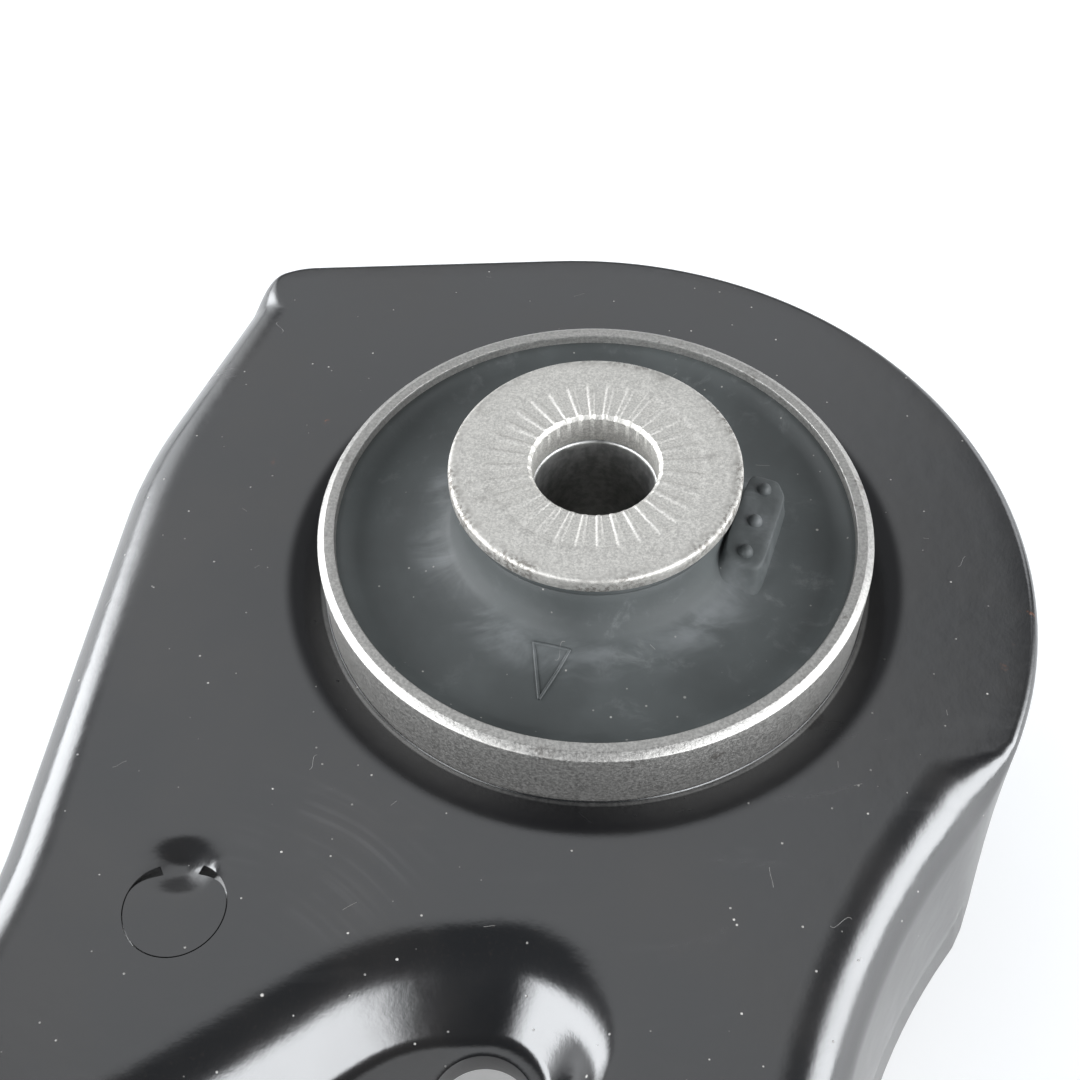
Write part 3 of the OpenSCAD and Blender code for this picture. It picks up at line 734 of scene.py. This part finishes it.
def arm_shell():
    b = Build()
    x, y, nx, ny = arm_line.T
    sections = np.array([border_section(*row) for row in
                         zip(*turned(arm_line), depth_at(arm_line), lean_at(arm_line))])
    b.rings([np.stack([x - nx * s[:, 0], y - ny * s[:, 0], s[:, 1]], -1)
             for s in np.moveaxis(sections, 1, 0)])

    # the flat face, finest round the tab, fine where the camera is near
    rim = arm_line[:, :2] - arm_line[:, 2:] * RIM
    stud_hole, slot = disc(BALL, STUD_HOLE_R, 90), tab_loops()
    rivets = [disc(c, RIVET_R + 0.03, 32) for c in RIVETS]
    holes = [panel_line[:, :2], disc((0, 0), COLLAR_EDGE, 180), stud_hole, slot] + rivets
    coarse = hex_grid(rim.min(0), rim.max(0), 6)
    fine = hex_grid(TAB - 13, TAB + 13, 0.75)
    fine = fine[np.hypot(*(fine - TAB).T) < 13]
    near = hex_grid((-90.0, -62.0), (60.0, 60.0), 2.6)
    plate, tris = flat_plate(rim, holes, [(fine, 0.45), (near, 1.1), (coarse, 2.2)])
    z = dip(plate)
    b.plate(np.column_stack([plate, z]), tris)
    b.plate(np.column_stack([plate, z - SHEET]), tris, True)
    for loop in [slot, stud_hole] + rivets:
        z = dip(loop)
        b.rings([np.column_stack([loop, z]), np.column_stack([loop, z - SHEET])],
                flip=loop is slot)

    pressed_panel(b, coarse)
    collar(b)
    ob = b.object("arm_pressing", PAINT, merge=0.004)
    cut_for_eye(ob)
    settle(ob, "arm", "arm_shell")


# ---- Rear bush -------------------------------------------
def outer_sleeve():
    low, inner = PROUD - SLEEVE_LEN, SLEEVE_R - SLEEVE_WALL
    section = rounded([(inner, low), (SLEEVE_R - 1, low), (SLEEVE_R, low + 1), (SLEEVE_R, -3),
                       (SLEEVE_R, 2), (SLEEVE_R, PROUD - 0.62, 0.25),
                       (SLEEVE_R - 0.85, PROUD - 0.02, 0.2), (inner + 0.1, PROUD, 0.12),
                       (inner, PROUD - 0.3)], 3)
    ob = lathe("rear_sleeve", STEEL_DRAWN, section, (0, 0, 0), 256, "z", 30)
    settle(ob, "arm", "rear_outer_sleeve")


def washer(name, z, up, node):
    """Serrated washer: radial flutes pressed into its face round the bore."""
    n = TEETH * 16
    a = around(n)
    hole, flutes, deep = BORE_R + 0.2, 12.5, 0.15
    edge = [(WASHER_R - 0.5, 0.0), (WASHER_R - 0.22, -0.1), (WASHER_R - 0.06, -0.26),
            (WASHER_R, -0.5)]
    radii = [hole + 0.1, *np.linspace(hole + 0.45, 12.4, 14), 12.65, 13.2, 14.5, 15.8]
    tooth = np.abs(((a * TEETH / (2 * pi)) % 1) - 0.5) * 2  # 1 on a ridge, 0 in a flute
    valley = 1 - smooth((tooth - 0.5) / 0.34)
    rings = [circle((0, 0), hole, -WASHER_T, n), circle((0, 0), hole, -0.55, n)]
    for r, drop in [(r, 0.0) for r in radii] + edge:
        if r < flutes:
            h = -deep * smooth((12.55 - r) / 0.25) * valley - 0.35 * (r <= hole + 0.1)
        else:
            h = drop + wobble(a, 3, 0.012)
        rings.append(np.stack([r * np.cos(a), r * np.sin(a), h], -1))
    for r, h in ((WASHER_R, -1.7), (WASHER_R - 0.15, -2.05), (WASHER_R - 0.5, -2.2),
                 (CORE_R + 2.2, -2.8), (CORE_R + 1, -WASHER_T), (hole, -WASHER_T)):
        rings.append(circle((0, 0), r, h, n))
    b = Build()
    b.rings([r * (1, up, up) + (0, 0, z) for r in rings])
    ob = b.object(name, STEEL_BLAST, sharp=35)
    settle(ob, "rear_core", node)


def core_tube():
    low, top, bore = CORE_TOP - CORE_LEN + WASHER_T, CORE_TOP - WASHER_T, BORE_R - 0.15
    section = rounded([(CORE_R, low), (CORE_R, top), (BORE_R, top, 0.5), (bore, top - 1.2),
                       (bore, low + 1.2), (BORE_R, low, 0.5)], 3)
    ob = lathe("rear_core", STEEL_TURNED, section, (0, 0, 0), 128, "z", 35)
    settle(ob, "rear_core", "rear_core_tube")


def rubber_face(r):
    """Height of the rear rubber's upper face over the bush's middle, at radius r."""
    h, s = CORE_TOP - BUSH_Z - WASHER_T, PROUD - BUSH_Z
    rr = [CORE_R, 14.7, 15.1, 15.9, 17.2, 19.0, 21.5, 24.5, 27.0, 28.8, 29.9, 30.5, 31.0]
    zz = [h - 0.6, h - 0.7, h - 2.2, h - 4.3, h - 5.9, s - 1.5, s - 2.15, s - 2.5, s - 2.55,
          s - 2.35, s - 1.75, s - 1.2, s - 1.25]
    return np.interp(r, rr, zz)


def rear_rubber():
    h = CORE_TOP - BUSH_Z - WASHER_T
    cap = [(CORE_R, h - 0.05), (CORE_R + 1.0, h - 0.05), (CORE_R + 2.2, h + 1.15),
           (WASHER_R - 0.75, h + 1.72), (WASHER_R - 0.45, h + 1.2), (WASHER_R - 0.7, h + 0.5),
           (15.3, h - 0.5), (14.75, h - 1.4)]
    radii = np.concatenate([np.linspace(14.95, 17.4, 10), np.linspace(18, 28, 16),
                            np.linspace(28.4, 31.0, 12)])
    zs = rubber_face(radii)
    for _ in range(3):  # ease the corners of the interpolated face
        zs[1:-1] = (zs[:-2] + 2 * zs[1:-1] + zs[2:]) / 4
    up = cap + list(zip(radii, zs))
    b = Build()
    turn(b, [(r, z + BUSH_Z) for r, z in up] + [(r, BUSH_Z - z) for r, z in up[::-1]],
         (0, 0, 0), 192)
    raised_marks(b)
    ob = b.object("rear_rubber_body", RUBBER, sharp=50)
    blend_radial(ob, (0, 0, 0), 2)
    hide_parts("rear_rubber")


def ridge(b, p, q, width, height, base):
    """Low rounded ridge from p to q on the rubber's face."""
    p, q = np.array(p, float), np.array(q, float)
    u = (q - p) / np.linalg.norm(q - p)
    v = np.array([-u[1], u[0]])
    rows = []
    for s in np.linspace(0, 1, 12):
        c = p + (q - p) * s
        z = rubber_face(np.hypot(*c)) + BUSH_Z + base
        rows.append([[*(c + v * width * w), z + h] for w, h in
                     ((-0.5, -0.6), (-0.5, 0.0), (-0.32, height * 0.8), (0, height),
                      (0.32, height * 0.8), (0.5, 0.0), (0.5, -0.6))])
    b.bar(rows)


def raised_marks(b):
    """The outlined arrowhead, and the block with three pips."""
    tips = [(-7.6, -17.1), (-3.6, -18.3), (-7.2, -23.9)]
    for i in range(3):
        ridge(b, tips[i], tips[(i + 1) % 3], 0.42, 0.26, -0.05)
    corners = [(14.0, -8.3), (18.6, -10.2), (22.9, 1.2), (22.3, 3.7), (19.0, 4.6)]
    loop = np.array([p for c, d in zip(corners, corners[1:] + corners[:1]) for p in steps(c, d, 8)])
    for _ in range(2):  # round its corners
        loop = (np.roll(loop, 1, 0) + 2 * loop + np.roll(loop, -1, 0)) / 4
    mid = loop.mean(0)

    def top(p):
        return 10.2 - 0.16 * (np.hypot(p[:, 0], p[:, 1]) - 17)

    rows = []
    for size, lift in ((1.16, None), (1.08, 0.25), (1.03, 0.55), (1.0, 0.85), (0.965, 0.97),
                       (0.9, 1.0), (0.6, 1.0), (0.25, 1.0)):
        p = mid + (loop - mid) * size
        base = rubber_face(np.hypot(p[:, 0], p[:, 1])) + BUSH_Z
        z = base - 0.4 if lift is None else base + (top(p) - base) * lift
        rows.append(np.column_stack([p, z]))
    domes = [(rows, (*mid, top(mid[None])[0]))]
    for c in ((20.3, 1.9), (18.6, -3.1), (17.0, -7.6)):
        base = top(np.array([c]))[0]
        domes.append(([circle(c, 0.9 * cos(t), base + sin(t) - 0.1, 24)
                       for t in np.linspace(-0.3, 1.35, 8)], (*c, base + 0.92)))
    for rows, tip in domes:
        idx = b.rings(rows)
        b.fill(idx[-1], tip)
        b.f.append(idx[0][::-1])


def blend_radial(ob, centre, axis):
    """Bakes the rubber's transform and measures its vertices from centre across the axis; the
    result is not used.
    """
    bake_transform(ob)
    co = np.array([v.co for v in ob.data.vertices]) - np.array(centre) * MM
    co[:, axis] = 0


# ---- Front eye -------------------------------------------
def eye_tube():
    half = EYE_LEN / 2
    section = rounded([(EYE_BORE, -half, 0.5), (EYE_R, -half, 0.8), (EYE_R, half, 0.8),
                       (EYE_BORE, half, 0.5)], 4)
    rows = more_rows(section, lambda dr, dz, z: abs(dz) > 10, np.linspace(0, 1, 13)[1:-1])
    ob = lathe("front_eye", PAINT, rows, EYE, 160, "y", 35)
    settle(ob, "arm", "eye_tube")


def gusset():
    """Plate under the arm between the eye tube and the front flange, with eased edges."""
    top = GUSSET_Z + GUSSET_T
    wall = SHEET - LEAN * FLANGE * (-top - BEND) / (FLANGE - BEND) + 0.03
    line = arm_line[:, :2] - arm_line[:, 2:] * wall
    side = EYE[0] - sqrt(EYE_R ** 2 - (top - EYE[2]) ** 2)
    lower = EYE[0] - sqrt(EYE_R ** 2 - (GUSSET_Z - EYE[2]) ** 2)
    front = line[(line[:, 1] < -285) & (line[:, 0] > GUSSET_X + 0.5) & (line[:, 0] < side - 0.5)]
    ends = np.interp([GUSSET_X, side], front[:, 0], front[:, 1])
    corners = [[GUSSET_X, ends[0]], *front.tolist(), [side, ends[1]], [side, GUSSET_BACK],
               [GUSSET_X, GUSSET_BACK]]
    loop = np.array([point for p, q in zip(corners, corners[1:] + corners[:1])
                     for point in steps(p, q, max(1, round(dist(p, q) / 3)))])
    hole_r, ease = 9, 0.35
    hole = disc((-62, EYE[1] + 6), hole_r, 72)
    mid = loop.mean(0)
    small = loop + (mid - loop) / np.abs(mid - loop).max(1)[:, None] * ease * 0.9
    wide = hole + (hole - hole.mean(0)) / hole_r * ease
    plate, tris = flat_plate(small, [wide], [(hex_grid(loop.min(0), loop.max(0), 4), 1.5)])

    def at(p, z):
        q = np.column_stack([p, np.full(len(p), float(z))])
        q[:, 0] += (lower - side) * (top - z) / GUSSET_T * smooth((p[:, 0] - side + 6) / 6)
        return q

    b = Build()
    b.plate(at(plate, top), tris)
    b.plate(at(plate, GUSSET_Z), tris, True)
    for outer, inner in ((loop, small), (hole, wide)):
        half = (inner + outer * 2) / 3
        b.rings([at(inner, top), at(half, top - ease * 0.3), at(outer, top - ease),
                 at(outer, GUSSET_Z + ease), at(half, GUSSET_Z + ease * 0.3), at(inner, GUSSET_Z)],
                flip=outer is hole)
    ob = b.object("eye_gusset_plate", PAINT, merge=0.004, sharp=50)
    settle(ob, "arm", "eye_gusset")


def bead(b, start, end, radius, away, seed):
    """Rippled weld bead from start to end; only its half on the away side stands out."""
    start, end, away = (np.array(v, float) for v in (start, end, away))
    along = end - start
    length = np.linalg.norm(along)
    along, away = along / length, away / np.linalg.norm(away)
    across = np.cross(along, away)
    g = np.random.default_rng(seed)
    pitch, rows = 1.9, []
    ripples = [g.uniform(-0.05, 0.05) for _ in range(60)]
    q = np.linspace(-0.12, pi + 0.12, 17)
    lag = 1.1 * np.sin(q) ** 2  # each ripple trails back over the crown
    for s in np.arange(0, length + 0.01, 0.24):
        end_t = min(s, length - s) / radius
        close = sqrt(max(0.0, 1 - (1 - min(1.0, end_t)) ** 2))
        saw = (s + lag) / pitch % 1
        r = radius * close * (0.955 - 0.075 * saw ** 2 + ripples[int(s / pitch) % 60] * 0.7)
        rows.append(start + along * s + np.outer(np.cos(q) * r, across)
                    + np.outer(np.sin(q) * r, away))
    b.bar(rows)


def clear_of_eye(b):
    """Pushes vertices out to the eye tube's surface where a bead would sink through its wall."""
    v = np.array(b.v)
    d = np.hypot(v[:, 0] - EYE[0], v[:, 2] - EYE[2])
    near = EYE_R - 0.4
    k = np.where(d < near, near / np.maximum(d, 1e-6), 1.0)
    v[:, 0] = EYE[0] + (v[:, 0] - EYE[0]) * k
    v[:, 2] = EYE[2] + (v[:, 2] - EYE[2]) * k
    b.v = v.tolist()


def welds():
    seam = EYE[0] - sqrt(EYE_R ** 2 - EYE[2] ** 2)
    under = EYE[0] - sqrt(EYE_R ** 2 - (GUSSET_Z - EYE[2]) ** 2)
    y = EYE[1]
    b = Build()
    bead(b, (seam, y - 19, 0), (seam, y + 25, 0), 5, (0, 0, 1), 1)
    bead(b, (under, y - 17, GUSSET_Z), (under, y + 23, GUSSET_Z), 5, (0, 0, -1), 2)
    clear_of_eye(b)
    ob = b.object("eye_weld_beads", WELD, merge=0.002, sharp=60)
    settle(ob, "arm", "eye_weld")
    b = Build()
    y -= 14.6
    for k, x in enumerate((-89, -55)):
        bead(b, (x, y, GUSSET_Z), (x + 20, y, GUSSET_Z), 3, (0, 0, -1), 3 + k)
    ob = b.object("gusset_weld_beads", WELD, merge=0.002, sharp=60)
    settle(ob, "arm", "gusset_weld")


def front_bush():
    wall, half, outer = 1.6, EYE_LEN / 2 - 1, EYE_BORE - 0.02
    section = rounded([(EYE_BORE - wall, -half, 0.3), (outer, -half, 0.5), (outer, half, 0.5),
                       (EYE_BORE - wall, half, 0.3)], 3)
    ob = lathe("front_sleeve", STEEL_DRAWN, section, EYE, 160, "y", 30)
    settle(ob, "arm", "front_outer_sleeve")

    end, face = 31, 30.9  # the inner sleeve's ends, toothed beyond face

    def teeth(r, z, a):
        step = np.abs(((a * 24 / (2 * pi)) % 1) - 0.5) * 2
        toothed = (np.abs(z) > face) * (r > 7) * (r < 9.9)
        return r, z - np.sign(z) * 0.3 * toothed * smooth((step - 0.45) / 0.2)

    section = rounded([(6.1, -end, 0.5), (10.5, -end, 0.5), (10.5, end, 0.5), (6.1, end, 0.5)], 4)
    rows = more_rows(section, lambda dr, dz, z: abs(dr) > 2 and abs(z) > face,
                     (0.05, 0.1, 0.3, 0.5, 0.7, 0.9, 0.95))
    ob = lathe("front_core", STEEL_TURNED, rows, EYE, 384, "y", 30, teeth)
    settle(ob, "front_core", "front_inner_sleeve")

    side = [(10.5, 28.5, 0.3), (12.3, 28.5, 0.6), (13.0, 27.6, 0.8), (13.4, 25.2, 1),
            (14.8, 23.6, 1), (16.4, 23.0, 1), (18.38, 24.0, 0.3)]
    section = rounded([(r, -z, c) for r, z, c in side] + side[::-1], 5)
    ob = lathe("front_rubber_body", RUBBER, section, EYE, 192, "y", 60)
    blend_radial(ob, EYE, 1)
    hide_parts("front_rubber")


# ---- Ball joint ------------------------------------------
def housing():
    plate, low = -SHEET - BALL[2], HOUSING_LOW
    section = rounded([
        (18, low + 3), (20, low + 3), (20, low, 0.5), (22.4, low, 0.9), (HOUSING_R, low + 2, 0.6),
        (HOUSING_R, plate - PLATE_T, 2.6), (PLATE_R, plate - PLATE_T, 1.0), (PLATE_R, plate, 0.6),
        (HOUSING_R, plate, 0.8), (HOUSING_R, HOUSING_TOP, 0.9), (16.8, HOUSING_TOP, 0.8),
        (12.6, 7.6, 0.4), (12.6, 6.4, 0.3), (18, 3)], 5)
    ob = lathe("ball_joint_housing", FORGED, section, BALL, 192, "z", 40,
               lambda r, z, a: (r + (r > PLATE_R - 2) * (wobble(a, 11, 0.05) - 0.12), z))
    settle(ob, "arm", "ball_housing")
    section = rounded([(0, low + 1.2), (11.6, low + 1.2, 0.8), (14, low + 0.4, 0.8),
                       (19.98, low + 0.4, 0.4), (19.98, low + 3), (14, low + 3, 0.5),
                       (11.6, low + 3.8, 0.5), (0, low + 3.8)], 4)
    ob = lathe("ball_joint_cap", STEEL_CAP, section, BALL, 128, "z", 40)
    settle(ob, "arm", "ball_end_cap")


def stud():
    neck_r = 6.8
    arc = [(BALL_R * cos(a), BALL_R * sin(a))
           for a in np.linspace(-pi / 2, acos(neck_r / BALL_R), 40)]
    top = rounded([arc[-1], (neck_r, 14, 3), (8, 20, 3), (8, COLLAR_Z + 7, 0.4),
                   (11.5, COLLAR_Z + 7.5, 0.5), (11.5, COLLAR_Z + 9, 0.5),
                   (SHANK_R, COLLAR_Z + 9.5, 0.6), (SHANK_R, STUD_LEN - 1.5, 0.4),
                   (SHANK_R - 1.5, STUD_LEN, 0.4), (2.6, STUD_LEN, 0.2),
                   (0, STUD_LEN - 1.6)], 5)[1:-1]
    rows = arc + [tuple(p) for p in top if p[0] > 0]
    fine = []
    for p, q in zip(rows, rows[1:]):  # close rows up the shank, for its notch
        rise = abs(q[1] - p[1])
        fine += steps(p, q, 1 if p[1] < COLLAR_Z + 9 or rise < 1 else max(1, round(rise / 0.22)))
    b = Build()
    turn(b, [(0, -BALL_R)] + fine[1:] + [rows[-1], (0, STUD_LEN - 1.6)], (0, 0, 0), 192)
    v = np.array(b.v)
    reach = SHANK_R + 2.8
    deep = NOTCH_R ** 2 - (v[:, 2] - NOTCH_Z) ** 2
    notched = (deep > (v[:, 0] - reach) ** 2) & (v[:, 2] > COLLAR_Z + 10)
    v[:, 0] = np.where(notched, reach - np.sqrt(np.maximum(0, deep)), v[:, 0])
    b.v = (v + BALL).tolist()
    ob = b.object("ball_stud_turned", STEEL_TURNED, sharp=35)
    settle(ob, "stud", "ball_stud")


def boot():
    """Bellows in two pieces, a lower and an upper."""
    waist, inner_waist = (19.3, 22.1), (18.3, 20.6)
    low = [(23.1, 5.0, 0.2), (24.8, 5.0, 0.5), (24.8, 10.4, 0.6), (25.6, 11.4, 0.6),
           (26.3, 13.6, 1.2), (26.3, 16.2, 1.4), (25.0, 19.0, 1.6), (21.6, 20.9, 1.0), waist,
           inner_waist, (21.0, 19.3, 0.8), (23.6, 17.6, 1.2), (24.6, 15.6, 1.0),
           (24.5, 13.8, 0.8), (23.1, 12.2, 0.4)]
    up = [waist, (19.6, 23.6, 0.8), (17.6, 25.4, 1.4), (13.6, 26.6, 1.4), (11.3, 27.0, 0.5),
          (10.0, 27.5, 0.2), (10.0, 30.1, 0.2), (10.7, 30.4, 0.3), (10.6, 30.8, 0.2),
          (8.15, 30.8, 0.3), (8.15, 25.9, 0.5), (10.6, 25.3, 0.8), (13.2, 25.0, 1.0),
          (16.8, 23.9, 1.0), inner_waist]
    lower = lathe("dust_boot_lower", BOOT, rounded(low, 6), BALL, 192, "z", 70)
    upper = lathe("dust_boot_upper", BOOT, rounded(up, 6), BALL, 192, "z", 70)

    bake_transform(lower)
    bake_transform(upper)
    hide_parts("dust_boot")


def boot_rings():
    wire = 0.56
    q = around(16)
    for name, radius, heights, body, node in (
            ("boot_ring_upper", 10.05 + wire, (28.1, 29.2), "boot_top", "boot_upper_ring"),
            ("boot_ring_lower", 24.86 + wire, (6.9, 8.0, 9.1), "arm", "boot_lower_ring")):
        b = Build()
        for z in heights:
            turn(b, [(radius + wire * cos(k), z + wire * sin(k)) for k in q], BALL, 160)
        ob = b.object(name, STEEL_SPRING)
        settle(ob, body, node)


def rivets():
    under, head_r, head_t = SHEET + PLATE_T, 6.4, 4.0
    dome = (head_r ** 2 + head_t ** 2) / (2 * head_t)
    head = [(0, head_t - 0.15)] + [(dome * sin(t), head_t - dome + dome * cos(t))
                                   for t in np.linspace(0.12, asin(head_r / dome), 12)]
    foot = rounded([(head_r - 0.1, -under - 0.01), (head_r, -under - 1.4, 1.2),
                    (head_r - 0.6, -under - 3, 0.9), (0, -under - 2.9)], 5)
    shank = [(head_r - 0.15, 0.0), (RIVET_R, 0.0), (RIVET_R, -under)]
    b = Build()
    for k, c in enumerate(RIVETS):
        turn(b, head + shank + [tuple(p) for p in foot], (*c, 0), 64, "z",
             lambda r, z, t: (r * (1 + 0.015 * (r > 5) * np.sin(2 * t + k)), z))
    ob = b.object("ball_joint_rivets", FORGED, sharp=35)
    settle(ob, "arm", "ball_rivets")


arm_shell()
outer_sleeve()
washer("rear_head", CORE_TOP, 1, "rear_head_washer")
washer("rear_foot", CORE_TOP - CORE_LEN, -1, "rear_foot_washer")
core_tube()
rear_rubber()
eye_tube()
gusset()
welds()
front_bush()
housing()
stud()
boot()
boot_rings()
rivets()
for place in frame["nodes"]["ball_seat"].material_slots:
    place.material = ACETAL


# ---- Stage -----------------------------------------------
def stage():
    """A sheet of white paper under the part."""
    n = Nodes("floor_paper")
    tone = n.mix(n.ramp(n.noise(3, 2), 0.3, 0.7), (0.86, 0.87, 0.88), (0.9, 0.9, 0.9))
    mat = n.finish(Base_Color=tone, Roughness=0.8, Emission_Color=(1.0, 1.0, 1.0),
                   Emission_Strength=0.26)
    mesh = bpy.data.meshes.new("floor")
    s = 6.0
    mesh.from_pydata([(-s, -s, 0), (s, -s, 0), (s, s, 0), (-s, s, 0)], [], [(0, 1, 2, 3)])
    ob = bpy.data.objects.new("floor", mesh)
    ob.location.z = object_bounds()[0].z
    bpy.context.scene.collection.objects.link(ob)
    mesh.materials.append(mat)
    ob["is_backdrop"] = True


def world():
    """A light tent: tall softboxes low down on both sides of the camera, dark over the lens."""
    w = bpy.data.worlds.new("studio")
    bpy.context.scene.world = w
    w.use_nodes = True
    t = Tree(w.node_tree)
    x, y, z = t.split(t.n("TexCoord").outputs["Generated"])
    side = t.math("ARCTAN2", x, t.mul(y, -1.0))  # 0 towards the camera, + to its right
    turn = t.math("ABSOLUTE", side)
    box = t.mul(t.ramp(z, 0.03, 0.1), t.fade(z, 0.5, 0.68))
    right = t.mul(t.ramp(side, 0.16, 0.45), t.fade(side, 1.5, 2.1))
    left = t.mul(t.ramp(side, -0.42, -0.85), t.fade(side, -2.15, -2.4))
    behind = t.mul(t.ramp(turn, 2.1, 2.3), t.ramp(turn, 2.45, 2.75, 1.0, 0.08))
    low = t.math("ADD", t.mul(t.math("MAXIMUM", left, right), 7.0), t.mul(behind, 2.2))
    wide = t.ramp(t.math("ABSOLUTE", t.math("ADD", x, 0.08)), 0.28, 0.5, 1.0, 0.15)
    roof = t.mul(t.mul(t.ramp(y, 0.0, 0.22), wide), t.mul(t.ramp(z, 0.5, 0.62), 0.74))
    light = t.math("ADD", t.math("ADD", t.mul(box, low), roof), 0.04)
    lit = t.n("Background", i0=(0.975, 1.0, 1.03), i1=light)
    seen = t.n("Background", i0=(1, 1, 1), i1=1.05)
    pick = t.n("MixShader", i0=t.n("LightPath").outputs["Is Camera Ray"], i1=lit.outputs[0],
               i2=seen.outputs[0])
    t.n("OutputWorld", i0=pick.outputs[0])


def camera():
    eye = Vector((-6.57, -108.56, 139.86)) * MM
    pitch, roll = radians(51.436), radians(-1.659)
    f = Vector((0, cos(pitch), -sin(pitch)))
    r = Vector((1, 0, 0))
    u = r.cross(f)
    right = r * cos(roll) + u * sin(roll)
    up = -r * sin(roll) + u * cos(roll)
    data = bpy.data.cameras.new("camera")
    data.lens, data.sensor_width = 47.70, 36.0
    data.clip_start, data.clip_end = 0.005, 50.0
    ob = bpy.data.objects.new("camera", data)
    ob.matrix_world = Matrix([[right.x, up.x, -f.x, eye.x], [right.y, up.y, -f.y, eye.y],
                              [right.z, up.z, -f.z, eye.z], [0, 0, 0, 1]])
    bpy.context.scene.collection.objects.link(ob)
    bpy.context.scene.camera = ob


stage()
world()
camera()
bpy.context.scene.view_settings.view_transform = "Standard"
